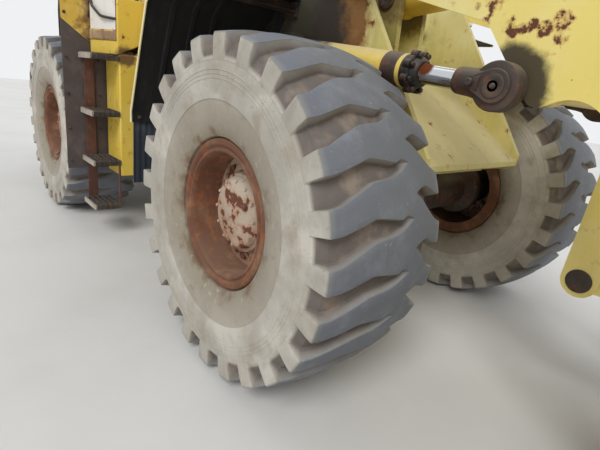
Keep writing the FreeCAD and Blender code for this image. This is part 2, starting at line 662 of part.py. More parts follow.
def bucket():
    """A rolled shell with side plates, hinge ears and pins, and a bolted cutting edge."""
    t = s.bucket_plate
    edge = s.bucket_reach
    half = "bucket_half"
    outer = [(edge - 330, 8), (edge - 600, 8), (s.bucket_heel, 8, 440), (s.bucket_heel, 590, 60),
             (3690, 1290), (3950, 1390)]
    inner = [(3950, 1390 - t), (3712, 1290 - t - 8), (s.bucket_heel + t + 8, 590 + 8, 60),
             (s.bucket_heel + t, 8 + t, 410),
             (edge - 600, 8 + t), (edge - 330, 8 + t)]
    pieces = [plate("shell", outer + inner, ("-" + half, half))]
    cheek = [(edge - 330, 8), (s.bucket_heel, 8, 440), (s.bucket_heel, 590, 60), (3690, 1290),
             (3950, 1390), (3990, 1330, 40),
             (edge - 250, 120, 60), (edge - 250, 40), (edge - 330, 40)]
    for word, side in SIDES:
        pieces.append(plate(f"cheek_{word}", cheek, mirrored(side, "bucket_half-30", "bucket_half")))
        for index, (low, high) in enumerate((("arm_inner-side_gap-45", "arm_inner-side_gap"),
                                             ("arm_inner+arm_plate+side_gap",
                                              "arm_inner+arm_plate+side_gap+45"))):
            ear = [(s.bucket_pin_x - 95, s.bucket_pin_z + 95, 85),
                   (s.bucket_pin_x - 95, s.bucket_pin_z - 95, 85),
                   (3420, 120), (3430, 700), (3330, 650)]
            pieces.append(plate(f"bucket_ear_{word}_{index}", ear, mirrored(side, low, high)))
        pieces.append(rod(f"bucket_pin_{word}", "y",
                          *mirrored(side, "arm_inner-side_gap-50", "arm_inner+arm_plate+side_gap+50"),
                          ("bucket_pin_x", "bucket_pin_z"), "bucket_pin"))
        ear = [(s.link_x - 80, s.link_z + 80, 75), (s.link_x - 80, s.link_z - 80, 75), (3300, 560),
               (3420, 800),
               (3470, 930)]
        pieces.append(plate(f"link_ear_{word}", ear, mirrored(side, "96", "140")))
    pieces.append(rod("link_pin", "y", "-145", "145", ("link_x", "link_z"), "40"))
    node("bucket", fuse("bucket_parts", pieces))
    lip = [(edge, 0), (edge, 6), (edge - 60, 40), (edge - 330, 40), (edge - 330, 0)]
    node("cutting_edge", plate("cutting_edge_plate", lip, ("-" + half, half)))


def fenders():
    """Arched mudguards over the four wheels, and the rubber flaps behind the front ones."""
    front = []
    flaps = []
    rear = []
    t = s.fender_sheet
    top = s.fender_top
    for word, side in SIDES:
        y = mirrored(side, "tower_half+240", "front_guard")
        arch = [(127, 1180), (127, 1257), (384, 1898), (560, top, 120), (1050, top), (1050, top - t),
                (566, top - t, 112), (391, 1890), (127 + t, 1254), (127 + t, 1180)]
        sheet_metal = plate(f"front_fender_{word}", arch, y)
        stay = box(f"front_stay_{word}", ("620", "700"), mirrored(side, "tower_half", "front_guard-100"),
                   ("fender_top-80", "fender_top-fender_sheet"))
        front.append(fuse(f"front_fender_set_{word}", [sheet_metal, stay]))
        flaps.append(plate(f"flap_{word}", [(103, 760), (115, 760), (127, 1180), (127, 1240), (115, 1240)],
                           mirrored(side, "tower_half+300", "front_guard-20")))
        rx = s.front_axle_x - s.wheelbase
        back_top = top + 4
        guard = [(s.board_x, 580), (s.board_x, back_top - 44, 60), (rx + 640, back_top, 200),
                 (rx - 620, back_top, 200), (rx - 900, back_top - 394), (rx - 890, back_top - 398),
                 (rx - 612, back_top - t, 192), (rx + 632, back_top - t, 192),
                 (s.board_x - t, back_top - 52, 52), (s.board_x - t, 580)]
        rear.append(fuse(f"rear_fender_set_{word}", [
            plate(f"rear_fender_{word}", guard, mirrored(side, "cab_half+6", "rear_guard")),
            box(f"fender_strip_{word}", (rx - 600, "cab_rear-8"), mirrored(side, "hood_half", "cab_half+7"),
                ("fender_top+4-fender_sheet", "fender_top+4")),
        ]))
    node("front_fenders", fuse("front_fenders_set", front))
    node("mud_flaps", fuse("mud_flaps_set", flaps))
    node("rear_fenders", fuse("rear_fenders_set", rear))


TREAD_TOPS = (318, 718, 1145, 1606)


def side_boxes():
    """Boxes behind the ladders, the platform boxes over them, and the ladders themselves."""
    columns = []
    decks = []
    ladders = []
    for word, side in SIDES:
        y = mirrored(side, "column_inner", "column_outer")
        columns.append(box(f"column_{word}", ("column_rear", "column_front"), y,
                           ("column_low", "column_top")))
        deck = [(s.column_front, s.column_top + 80), (s.column_front - 90, s.column_top),
                (s.board_x, s.column_top),
                (s.board_x, s.deck_z), (s.column_front, s.deck_z)]
        decks.append(plate(f"deck_{word}", deck, mirrored(side, "cab_half+6", "column_outer")))
        treads = []
        for index, top in enumerate(TREAD_TOPS):
            treads.append(box(f"tread_{word}_{index}", ("column_rear+5", "column_front"),
                              mirrored(side, "column_outer", "ladder_outer"),
                              (f"{top}-tread_thickness", top)))
        # A strip down the back of the ladder, and a strap that holds the lowest tread in front.
        foot = f"{TREAD_TOPS[0]}-tread_thickness"
        for index, (x, depth, top) in enumerate((("column_rear+5", 40, "deck_z-350"),
                                                 ("column_front-stringer-5", 12, str(TREAD_TOPS[1])))):
            treads.append(box(f"stringer_{word}_{index}", (x, x + "+stringer"),
                              mirrored(side, "column_outer", f"column_outer+{depth}"), (foot, top)))
        ladders.append(fuse(f"ladder_{word}", treads))
    node("side_boxes", fuse("side_boxes_set", columns))
    node("platforms", fuse("platforms_set", decks))
    node("ladders", fuse("ladders_set", ladders))


# Door hinges over the cab floor.
HINGE_HEIGHTS = (250, 1120)


def cab():
    """A hollow cab with window openings, a roof, glass, a door, a seat and a console."""
    w = "cab_wall"
    x = ("cab_rear", "cab_front")
    y = ("-cab_half", "cab_half")
    shell = box("cab_block", x, y, ("cab_bottom", "cab_top"))
    inside = (f"cab_rear+{w}", f"cab_front-{w}"), (f"-cab_half+{w}", f"cab_half-{w}")
    room = box("cab_room", *inside, ("cab_floor", "cab_top+1"))
    under = box("cab_under", *inside, ("cab_bottom-1", f"cab_floor-{w}"))
    g = "glass_thickness"
    # For each wall: the axis through it, where an opening lies along that axis, and where a pane does.
    walls = {
        "front": ("x", (f"cab_front-{w}-1", "cab_front+1"), (f"cab_front-25-{g}", "cab_front-25")),
        "rear": ("x", ("cab_rear-1", f"cab_rear+{w}+1"), ("cab_rear+20", f"cab_rear+20+{g}")),
        "right": ("y", ("-cab_half-1", f"-cab_half+{w}+1"), ("-cab_half+20", f"-cab_half+20+{g}")),
        "left": ("y", (f"cab_half-{w}-1", "cab_half+1"), (f"cab_half-20-{g}", "cab_half-20")),
    }
    # Window, wall, low and high along the wall, sill.
    windows = [
        ("front", "front", "-cab_half+90", "cab_half-90", "cab_floor+120"),
        ("rear", "rear", "-cab_half+110", "cab_half-110", "cab_floor+680"),
        ("right", "right", "-1080", "cab_front-90", "cab_floor+450"),
        ("right_rear", "right", "cab_rear+90", "-1150", "cab_floor+620"),
        ("door", "left", "-1080", "cab_front-90", "deck_z+15"),
        ("left_rear", "left", "cab_rear+90", "-1150", "cab_floor+620"),
    ]

    def across(name, wall, low, high, sill, part):
        """An opening (part 1) or a pane (part 2) of a window."""
        through = walls[wall][part]
        level = (through, (low, high)) if walls[wall][0] == "x" else ((low, high), through)
        return box(f"{name}_{('window', 'pane')[part - 1]}", *level, (sill, "cab_top-60"))

    openings = [across(*window, 1) for window in windows]
    panes = [across(*window, 2) for window in windows if window[0] != "door"]
    hollow = cut("cab_open", shell, fuse("cab_rooms", [room, under] + openings))
    hinges = []
    leaf_hinges = []
    for index, z in enumerate(HINGE_HEIGHTS):
        z = s.cab_floor + z
        hinges.append(box(f"hinge_bracket_{index}", ("-1096", "-1075"), ("cab_half", "cab_half+30"),
                          (z - 16, z)))
        hinges.append(rod(f"hinge_pin_{index}", "z", z - 16, z + 84, ("-1080", "cab_half+16"), "hinge_pin"))
        tube = rod(f"hinge_tube_{index}", "z", z + 1, z + 81, ("-1080", "cab_half+16"), "hinge_pin+8")
        strap = box(f"hinge_strap_{index}", ("-1080", "-1040"), ("cab_half+2", "cab_half+10"),
                    (z + 1, z + 81))
        leaf_hinges.append(fuse(f"leaf_hinge_{index}", [tube, strap]))
    node("cab_frame", fuse("cab_frame_parts", [hollow] + hinges))
    ends = (s.cab_rear - 60, s.cab_front + 90)
    edge = s.cab_half + 20
    roof = [(ends[0], -edge, 110), (ends[1], -edge, 160), (ends[1], edge, 160), (ends[0], edge, 110)]
    node("cab_roof", flat_plate("roof", roof, ("cab_top", "cab_top+roof_thickness")))
    node("cab_glass", fuse("cab_panes", panes))
    leaf = box("door_leaf", ("-1074", "cab_front-96"), (f"cab_half-{w}+2", "cab_half+2"),
               ("deck_z+21", "cab_top-66"))
    opening = box("door_window", ("-1004", "cab_front-166"), (f"cab_half-{w}-1", "cab_half+5"),
                  ("deck_z+250", "cab_top-136"))
    bores = [rod(f"hinge_bore_{i}", "z", f"cab_floor+{z}", f"cab_floor+{z}+82", ("-1080", "cab_half+16"),
                 "hinge_pin+pin_gap") for i, z in enumerate(HINGE_HEIGHTS)]
    frame = fuse("door_frame", [cut("door_ring", leaf, opening)] + leaf_hinges)
    node("cab_door", cut("door_bored", frame, fuse("hinge_bores", bores)))
    node("door_glass", box("door_pane", ("-1004", "cab_front-166"), (f"cab_half-20-{g}", "cab_half-20"),
                           ("deck_z+250", "cab_top-136")))
    floor = s.cab_floor
    seat = [
        box("seat_base", ("-1330", "-950"), ("-170", "170"), ("cab_floor", "cab_floor+300")),
        box("seat_cushion", ("-1400", "-880"), ("-260", "260"), ("cab_floor+300", "cab_floor+430")),
        plate("seat_back", [(-1400, floor + 380), (-1290, floor + 380), (-1420, floor + 1040),
                            (-1510, floor + 1040)], ("-240", "240")),
    ]
    node("operator_seat", fuse("seat_parts", seat))
    column = plate("steering_column", [(-560, floor), (-440, floor), (-590, floor + 655),
                                       (-650, floor + 625)],
                   ("-60", "60"))
    wheel = Part.makeTorus(200, 16, V(0, 0, 0), V(0, 0, 1))
    spokes = Part.makeBox(400, 30, 14, V(-200, -15, -7)).fuse(Part.makeCylinder(45, 70, V(0, 0, -60)))
    steering = solid("steering_ring", wheel.fuse(spokes))
    steering.Placement = FreeCAD.Placement(V(-632, 0, floor + 670), FreeCAD.Rotation(V(0, 1, 0), -24))
    node("steering_console", fuse("console_parts", [column, steering]))


def rear_body():
    """Engine and its hood, radiator grille, counterweight, transmission, stacks and rails."""
    node("engine", box("engine_block", ("-3300", "-1950"), ("-290", "290"), ("frame_top", "2200")))
    gearbox = [
        box("gear_case", ("-1560", "-900"), ("-260", "260"), ("frame_low+30", "frame_low+550")),
        rod("output_rear", "x", "-1640", "-1550", ("0", "tyre_radius+30"), "90"),
        rod("output_front", "x", "-900", "-700", ("0", "tyre_radius+30"), "60"),
    ]
    node("transmission", fuse("transmission_parts", gearbox))
    top = s.hood_top
    front, back, low = s.hood_front, s.hood_rear, s.frame_top
    skin = [(front, low), (back, low), (back, top - 330, 90), (-3300, top, 300), (front, top)]
    wall = s.hood_wall
    hollow = [(front + 1, low - 1), (back + wall, low - 1), (back + wall, top - 330 - wall, 80),
              (-3300, top - wall, 300), (front + 1, top - wall)]
    outer = plate("hood_skin", skin, ("-hood_half", "hood_half"))
    inner = plate("hood_room", hollow, ("-hood_half+hood_wall", "hood_half-hood_wall"))
    grille_width, grille_height = ("-560", "560"), ("1450", "2150")
    vent = box("hood_vent", ("hood_rear-30", "hood_rear+60"), grille_width, grille_height)
    node("hood", cut("hood_open", cut("hood_hollow", outer, inner), vent))
    frame_outer = box("grille_outer", ("hood_rear-25", "hood_rear+10"), grille_width, grille_height)
    frame_inner = box("grille_inner", ("hood_rear-26", "hood_rear+11"), ("-516", "516"), ("1494", "2106"))
    ring = cut("grille_frame", frame_outer, frame_inner)
    slats = [box(f"slat_{i}", ("hood_rear-20", "hood_rear+5"), ("-520", "520"), (z, z + 14))
             for i, z in enumerate(range(1520, 2120, 60))]
    node("radiator_grille", fuse("grille_parts", [ring] + slats))
    block = [(back, low - 590, 60), (s.rear_end + 120, low - 630, 120), (s.rear_end, low - 370, 120),
             (s.rear_end, low, 90),
             (back, low)]
    weight = cut("counterweight_pocket", plate("counterweight_block", block, ("-1180", "1180")),
                 box("hitch_pocket", ("rear_end-1", "rear_end+160"), ("-160", "160"),
                     ("frame_top-330", "frame_top-70")))
    hitch = ("rear_end+75", "0")
    forks = []
    for index, z in enumerate((low - 280, low - 160)):
        forks.append(box(f"hitch_lip_{index}", ("rear_end+70", "rear_end+165"), ("-100", "100"), (z, z + 40)))
        forks.append(rod(f"hitch_nose_{index}", "z", z, z + 40, hitch, "70"))
    # The pin drops through a wider hole over its two lips.
    bore = fuse("hitch_bores", [rod("hitch_bore", "z", "frame_top-290", "frame_top-115", hitch, "hitch_pin"),
                                rod("hitch_drop", "z", "frame_top-75", "frame_top+10", hitch,
                                    "hitch_pin+17")])
    node("counterweight", cut("counterweight_bored", fuse("counterweight_parts", [weight] + forks), bore))
    node("exhaust_stack", fuse("exhaust_parts", [
        rod("muffler", "z", "hood_top", "hood_top+230", ("-2600", "330"), "110"),
        rod("tailpipe", "z", "hood_top+220", "hood_top+620", ("-2600", "330"), "60"),
    ]))
    node("air_cleaner", fuse("cleaner_parts", [
        rod("cleaner_neck", "z", "hood_top", "hood_top+150", ("-2350", "-330"), "60"),
        rod("cleaner_cap", "z", "hood_top+140", "hood_top+330", ("-2350", "-330"), "140"),
    ]))


def rails_and_lamps():
    """Handrails, mirrors, work lamps and headlamps."""
    rails = []
    mirrors = []
    for word, side in SIDES:
        for index, y in enumerate(("column_outer-30", "cab_half+50")):
            rails.append(rod(f"post_{word}_{index}", "z", "deck_z", "deck_z+rail_height",
                             ("column_rear+30", f"{side}*({y})"), "18"))
        rails.append(rod(f"rail_{word}", "y", *mirrored(side, "cab_half+40", "column_outer-20"),
                         ("column_rear+30", "deck_z+rail_height"), "18"))
        mirrors.append(fuse(f"mirror_set_{word}", [
            box(f"mirror_{word}", ("cab_front+20", "cab_front+60"),
                mirrored(side, "cab_half+140", "cab_half+340"),
                ("cab_top-540", "cab_top-140")),
            rod(f"mirror_arm_{word}", "y", *mirrored(side, "cab_half-10", "cab_half+150"),
                ("cab_front+40", "cab_top-190"), "14"),
            box(f"mirror_foot_{word}", ("cab_front", "cab_front+54"),
                mirrored(side, "cab_half-40", "cab_half"),
                ("cab_top-210", "cab_top-170")),
        ]))
    node("handrails", fuse("handrails_set", rails))
    node("mirrors", fuse("mirrors_set", mirrors))
    lamps = []
    corners = (("cab_front", 600), ("cab_front", -600), ("cab_rear", 600), ("cab_rear", -600))
    for index, (x, y) in enumerate(corners):
        lamps.append(box(f"work_lamp_{index}", (x, x + "+70"), (y - 80, y + 80),
                         ("cab_top+roof_thickness", "cab_top+roof_thickness+110")))
    for word, side in SIDES:
        lamps.append(box(f"tail_lamp_{word}", ("hood_rear-40", "hood_rear"), mirrored(side, "590", "680"),
                         ("1500", "1700")))
    node("work_lamps", fuse("work_lamps_set", lamps))
    heads = []
    for word, side in SIDES:
        heads.append(fuse(f"headlamp_{word}", [
            box(f"lamp_box_{word}", ("900", "1020"), mirrored(side, "820", "1060"),
                ("fender_top+80", "fender_top+260")),
            box(f"lamp_stay_{word}", ("930", "990"), mirrored(side, "900", "980"),
                ("fender_top", "fender_top+85")),
        ]))
    node("headlamps", fuse("headlamps_set", heads))


def check_and_export():
    """Recompute, stop at any failed object, and write one file per sub-part."""
    doc.recompute()
    failed = [item.Name for item in doc.Objects if "Invalid" in item.State or "Error" in item.State]
    if failed:
        raise SystemExit(f"failed objects: {failed}")
    os.makedirs("parts", exist_ok=True)
    for name, item in nodes.items():
        shape = item.Shape
        if shape.isNull() or not shape.isValid() or shape.Volume <= 0:
            raise SystemExit(f"{name} has no valid shape")
        shape.exportStep(os.path.join("parts", name + ".step"))
        print(f"{name}: {len(shape.Solids)} solids, {len(shape.Faces)} faces, {shape.Volume / 1e9:.4f} m3")


wheels()
axles()
front_frame()
rear_frame()
boom()
bellcrank()
tilt_link()
bucket()
lift_and_tilt_cylinders()
steering_cylinders()
fenders()
side_boxes()
cab()
rear_body()
rails_and_lamps()
check_and_export()
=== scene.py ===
# %% [markdown]
# # Dressing a wheel loader
# The frame of this lesson is a finished model of an articulated wheel loader, with every joint in its
# place. Here it gets what the eye looks for on an old working machine: deep lug tyres grey with
# dust, rusted rims, faded yellow paint, greasy pins and a chromed rod. Nothing in the frame moves.

# %% Load the frame
import bpy
import math
from mathutils import Matrix, Vector


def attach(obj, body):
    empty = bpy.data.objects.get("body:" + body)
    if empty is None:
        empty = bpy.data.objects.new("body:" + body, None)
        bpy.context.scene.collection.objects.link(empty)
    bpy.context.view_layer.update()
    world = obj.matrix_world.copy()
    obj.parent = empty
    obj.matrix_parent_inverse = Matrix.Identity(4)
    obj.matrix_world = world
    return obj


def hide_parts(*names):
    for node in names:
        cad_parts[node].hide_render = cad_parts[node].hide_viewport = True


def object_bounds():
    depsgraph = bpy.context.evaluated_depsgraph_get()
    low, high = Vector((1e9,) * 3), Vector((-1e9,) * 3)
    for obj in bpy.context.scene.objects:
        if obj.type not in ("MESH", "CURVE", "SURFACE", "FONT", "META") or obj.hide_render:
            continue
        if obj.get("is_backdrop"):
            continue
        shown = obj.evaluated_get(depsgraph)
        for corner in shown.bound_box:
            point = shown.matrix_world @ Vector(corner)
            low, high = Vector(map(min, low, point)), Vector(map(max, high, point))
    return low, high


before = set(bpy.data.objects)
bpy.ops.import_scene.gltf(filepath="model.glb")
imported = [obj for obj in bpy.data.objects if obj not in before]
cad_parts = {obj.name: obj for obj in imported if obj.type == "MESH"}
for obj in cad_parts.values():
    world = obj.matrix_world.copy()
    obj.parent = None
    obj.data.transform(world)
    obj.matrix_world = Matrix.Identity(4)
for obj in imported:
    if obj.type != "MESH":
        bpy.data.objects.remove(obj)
cad_low, cad_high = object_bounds()

SIDES = (("right", -1), ("left", 1))


# %% [markdown]
# ## Three habits
# An operator acts on whatever is selected, so each piece starts from an empty selection. A finished
# piece keeps its place in its mesh and its object at the origin. Each piece then rides on a body of the
# frame, so that it follows the joints.

# %% Helpers for every piece
def start_piece(name, points, edges=(), faces=()):
    """A new object, alone in the selection and in edit mode with everything selected."""
    bpy.ops.object.select_all(action="DESELECT")
    mesh = bpy.data.meshes.new(name)
    mesh.from_pydata([tuple(point) for point in points], edges, faces)
    piece = bpy.data.objects.new(name, mesh)
    bpy.context.scene.collection.objects.link(piece)
    bpy.context.view_layer.objects.active = piece
    piece.select_set(True)
    bpy.ops.object.mode_set(mode="EDIT")
    bpy.ops.mesh.select_all(action="SELECT")
    return piece


def close_up(piece, angle=35):
    """Merge what meets, turn the faces outwards, and smooth all but the sharp edges."""
    bpy.ops.mesh.select_all(action="SELECT")
    bpy.ops.mesh.remove_doubles(threshold=0.00002)
    bpy.ops.mesh.normals_make_consistent(inside=False)
    bpy.ops.object.mode_set(mode="OBJECT")
    bpy.ops.object.shade_smooth_by_angle(angle=math.radians(angle))
    return piece


def soften(piece, width, segments=2, limit=40):
    """Round the sharp edges, as castings, pressings and rolled plates have them."""
    bevel = piece.modifiers.new("Edges", "BEVEL")
    bevel.width = width
    bevel.segments = segments
    bevel.limit_method = "ANGLE"
    bevel.angle_limit = math.radians(limit)
    bpy.context.view_layer.objects.active = piece
    bpy.ops.object.modifier_apply(modifier=bevel.name)
    return piece


def along(way, at):
    """A transform that lays a piece's +Z along a direction and its origin on a point."""
    turn = Vector((0, 0, 1)).rotation_difference(Vector(way).normalized())
    return Matrix.Translation(Vector(at)) @ turn.to_matrix().to_4x4()


def turned(name, line, at=(0, 0, 0), way=(0, 0, 1), steps=48, angle=35):
    """Spin a line of (distance along the axis, radius) points round the axis."""
    piece = start_piece(name, [(radius, 0, reach) for reach, radius in line],
                        [(i, i + 1) for i in range(len(line) - 1)])
    bpy.ops.mesh.spin(steps=steps, angle=2 * math.pi, center=(0, 0, 0), axis=(0, 0, 1))
    close_up(piece, angle)
    piece.data.transform(along(way, at))
    return piece


def slab(name, corners, depth, edge=0.0):
    """Extrude a flat outline along a vector, and bevel the result."""
    piece = start_piece(name, corners, (), [range(len(corners))])
    bpy.ops.mesh.extrude_region_move(TRANSFORM_OT_translate={"value": depth})
    close_up(piece)
    if edge:
        soften(piece, edge)
    return piece


def block(name, low, high, edge=0.01):
    """A bevelled block between two corners."""
    (a, b, c), (d, e, f) = low, high
    return slab(name, [(a, b, c), (d, b, c), (d, e, c), (a, e, c)], (0, 0, f - c), edge)


def tube(name, points, radius, bend=0.0, sides=5):
    """A bent pipe: straight runs between points, with round bends, closed at its ends."""
    bpy.ops.object.select_all(action="DESELECT")
    curve = bpy.data.curves.new(name, "CURVE")
    curve.dimensions = "3D"
    curve.bevel_depth = radius
    curve.bevel_resolution = sides
    curve.use_fill_caps = True
    spline = curve.splines.new("POLY")
    path = []
    for i, point in enumerate(points):
        point = Vector(point)
        if bend and 0 < i < len(points) - 1:
            before = (Vector(points[i - 1]) - point).normalized()
            after = (Vector(points[i + 1]) - point).normalized()
            for t in (0, 0.25, 0.5, 0.75, 1):
                path.append(point + before * bend * (1 - t) ** 2 + after * bend * t ** 2)
        else:
            path.append(point)
    spline.points.add(len(path) - 1)
    for place, point in zip(spline.points, path):
        place.co = (*point, 1)
    piece = bpy.data.objects.new(name, curve)
    bpy.context.scene.collection.objects.link(piece)
    piece.select_set(True)
    bpy.context.view_layer.objects.active = piece
    bpy.ops.object.convert(target="MESH")
    piece = bpy.context.object
    bpy.ops.object.mode_set(mode="EDIT")
    return close_up(piece, 50)


def copied(piece, name, place):
    """A copy with its own mesh, moved or mirrored by a transform."""
    twin = piece.copy()
    twin.data = piece.data.copy()
    twin.name = twin.data.name = name
    bpy.context.scene.collection.objects.link(twin)
    twin.data.transform(place)
    if place.determinant() < 0:
        twin.data.flip_normals()
    return twin


def joined(name, pieces):
    """Several shells as one piece."""
    bpy.ops.object.select_all(action="DESELECT")
    for piece in pieces:
        piece.select_set(True)
    bpy.context.view_layer.objects.active = pieces[0]
    if len(pieces) > 1:
        bpy.ops.object.join()
    pieces[0].name = pieces[0].data.name = name
    return pieces[0]


def fit(piece, body, finish, slot, *nodes):
    """Give a piece its finish and its body, and say which nodes it stands for."""
    if isinstance(finish, bpy.types.Material):
        piece.data.materials.clear()
        piece.data.materials.append(finish)
    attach(piece, body)
    if nodes:
        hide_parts(*nodes)
    return piece


MIRROR = Matrix.Scale(-1, 4, (0, 1, 0))


# %% [markdown]
# ## Finishes
# Old paint is never one colour. Sun bleaches it in clouds, rain draws dirt down in streaks, dust lies
# on what faces up, and rust starts at chips and spreads a stain. Each of those is one layer of noise,
# put over the last, and the same noise gives roughness and bump. The patterns read object coordinates.

# %% A finish in layers
def rgb(red, green, blue):
    """A colour as a screen shows it, turned into the renderer's linear numbers."""
    return tuple((c / 255 / 12.92) if c <= 10 else ((c / 255 + 0.055) / 1.055) ** 2.4
                 for c in (red, green, blue)) + (1.0,)


class Finish:
    """A material being built: colour and roughness layers, then bump."""

    def __init__(self, name, colour, roughness, metallic=0.0):
        self.material = bpy.data.materials.new(name)
        self.material.use_nodes = True
        self.tree = self.material.node_tree
        self.shader = self.tree.nodes["Principled BSDF"]
        self.shader.inputs["Metallic"].default_value = metallic
        self.colour = rgb(*colour)
        self.roughness = roughness
        self.coords = self.tree.nodes.new("ShaderNodeTexCoord").outputs["Object"]

    def put(self, socket, value):
        if isinstance(value, bpy.types.NodeSocket):
            self.tree.links.new(value, socket)
        else:
            socket.default_value = value

    def maths(self, operation, *values):
        node = self.tree.nodes.new("ShaderNodeMath")
        node.operation = operation
        for socket, value in zip(node.inputs, values):
            self.put(socket, value)
        return node.outputs[0]

    def span(self, value, low, high):
        """0 below low, 1 above high, smooth between."""
        node = self.tree.nodes.new("ShaderNodeMapRange")
        node.interpolation_type = "SMOOTHSTEP"
        for name, number in (("Value", value), ("From Min", low), ("From Max", high)):
            self.put(node.inputs[name], number)
        return node.outputs[0]

    def noise(self, scale, stretch=(1, 1, 1), seed=0.0, detail=6.0):
        mapping = self.tree.nodes.new("ShaderNodeMapping")
        self.put(mapping.inputs["Vector"], self.coords)
        mapping.inputs["Scale"].default_value = stretch
        mapping.inputs["Location"].default_value = (seed, seed * 1.7, -seed)
        node = self.tree.nodes.new("ShaderNodeTexNoise")
        self.put(node.inputs["Vector"], mapping.outputs[0])
        node.inputs["Scale"].default_value = scale
        node.inputs["Detail"].default_value = detail
        node.inputs["Roughness"].default_value = 0.6
        return node.outputs["Fac"]

    def spots(self, scale, low, high, **more):
        return self.span(self.noise(scale, **more), low, high)

    def near(self, at, inner, outer):
        """1 close to a point of the machine, 0 far from it."""
        node = self.tree.nodes.new("ShaderNodeVectorMath")
        node.operation = "DISTANCE"
        self.put(node.inputs[0], self.coords)
        node.inputs[1].default_value = at
        return self.maths("SUBTRACT", 1.0, self.span(node.outputs["Value"], inner, outer))

    def upward(self):
        """1 where the surface faces up."""
        geometry = self.tree.nodes.new("ShaderNodeNewGeometry")
        split = self.tree.nodes.new("ShaderNodeSeparateXYZ")
        self.put(split.inputs[0], geometry.outputs["Normal"])
        return self.span(split.outputs["Z"], 0.3, 0.95)

    def height(self, low, high):
        """0 at one height, 1 at the other."""
        split = self.tree.nodes.new("ShaderNodeSeparateXYZ")
        self.put(split.inputs[0], self.coords)
        return self.span(split.outputs["Z"], low, high)

    def layer(self, factor, colour, roughness=None):
        node = self.tree.nodes.new("ShaderNodeMix")
        node.data_type = "RGBA"
        self.put(node.inputs["Factor"], factor)
        self.put(node.inputs[6], self.colour)
        self.put(node.inputs[7], rgb(*colour))
        self.colour = node.outputs[2]
        if roughness is not None:
            fade = self.tree.nodes.new("ShaderNodeMix")
            self.put(fade.inputs["Factor"], factor)
            self.put(fade.inputs[2], self.roughness)
            self.put(fade.inputs[3], roughness)
            self.roughness = fade.outputs[0]
        return self

    def times(self, *values):
        result = values[0]
        for value in values[1:]:
            result = self.maths("MULTIPLY", result, value)
        return result

    def bump(self, height, depth):
        node = self.tree.nodes.new("ShaderNodeBump")
        node.inputs["Strength"].default_value = 0.9
        node.inputs["Distance"].default_value = depth
        self.put(node.inputs["Height"], height)
        self.put(self.shader.inputs["Normal"], node.outputs[0])
        return self

    def done(self):
        self.put(self.shader.inputs["Base Color"], self.colour)
        self.put(self.shader.inputs["Roughness"], self.roughness)
        return self.material


# %% [markdown]
# ## Yellow paint in several ages
# One recipe serves all the painted sheet metal, with a few dials: how much rust, how much grime, and
# where rust has gathered; dark patches go on as grease, and on the tower as painted shade. The boom arm
# has scattered deep rust blotches, the tower is washed out and greenish, and the boxes behind the ladder kept more of
# their colour.

# %% Worn paint
RUST = (104, 62, 42)
RUST_BRIGHT = (172, 98, 52)
GRIME = (84, 74, 60)
DUST = (196, 186, 162)


def worn_paint(name, colour, faded, rust=0.3, grime=0.4, seed=0.0, rusty=(), greasy=(), dust=0.5, roughness=0.42):
    finish = Finish(name, colour, roughness)
    finish.layer(finish.spots(1.1, 0.4, 0.72, seed=seed), faded, roughness + 0.15)
    finish.layer(finish.times(finish.spots(7, 0.5, 0.8, stretch=(1, 1, 0.1), seed=seed + 2), grime * 0.6), GRIME, 0.7)
    finish.layer(finish.times(finish.spots(2.3, 0.52, 0.75, seed=seed + 5), grime * 0.5), GRIME, 0.75)
    finish.layer(finish.times(finish.upward(), dust), DUST, 0.85)
    places = [finish.near(*place) for place in rusty]
    where = rust
    for place in places:
        where = finish.maths("MAXIMUM", where, place)
    blotch = finish.noise(13, seed=seed + 7, detail=9)
    level = finish.maths("ADD", blotch, finish.maths("MULTIPLY", where, 0.22))
    finish.layer(finish.times(finish.span(level, 0.62, 0.74), 0.55), RUST_BRIGHT, 0.8)
    core = finish.span(level, 0.71, 0.75)
    finish.layer(core, RUST, 0.9)
    specks = finish.times(finish.spots(60, 0.66, 0.7, seed=seed + 9), finish.span(level, 0.5, 0.66))
    finish.layer(specks, RUST, 0.9)
    # Grease spots, and where a finish lists them, patches of painted shade.
    for centre, inner, outer, colour in greasy:
        spread = finish.maths("MULTIPLY", finish.noise(14, seed=seed + 11, detail=9), 1.1)
        spread = finish.maths("ADD", finish.near(centre, inner, outer), spread)
        finish.layer(finish.times(finish.span(spread, 0.75, 1.35), 0.95), colour, 0.8)
    grain = finish.maths("ADD", finish.maths("MULTIPLY", finish.noise(90, seed=seed), 0.25),
                         finish.maths("MULTIPLY", core, finish.noise(45, seed=seed + 3)))
    return finish.bump(grain, 0.002).done()


def worn_metal(name, colour, light, rust, metallic=0.6, roughness=0.5, seed=0.0, dusty=0.4):
    """Bare or once black iron: clouds of lighter wear, rust and dust."""
    finish = Finish(name, colour, roughness, metallic)
    finish.layer(finish.spots(6, 0.45, 0.75, seed=seed), light, roughness + 0.1)
    finish.layer(finish.times(finish.spots(4, 0.45, 0.7, seed=seed + 4, detail=9), rust), RUST, 0.85)
    finish.layer(finish.times(finish.spots(18, 0.52, 0.68, seed=seed + 6), rust * 0.8), RUST_BRIGHT, 0.9)
    finish.layer(finish.times(finish.upward(), dusty), DUST, 0.9)
    return finish.bump(finish.noise(70, seed=seed), 0.0015).done()


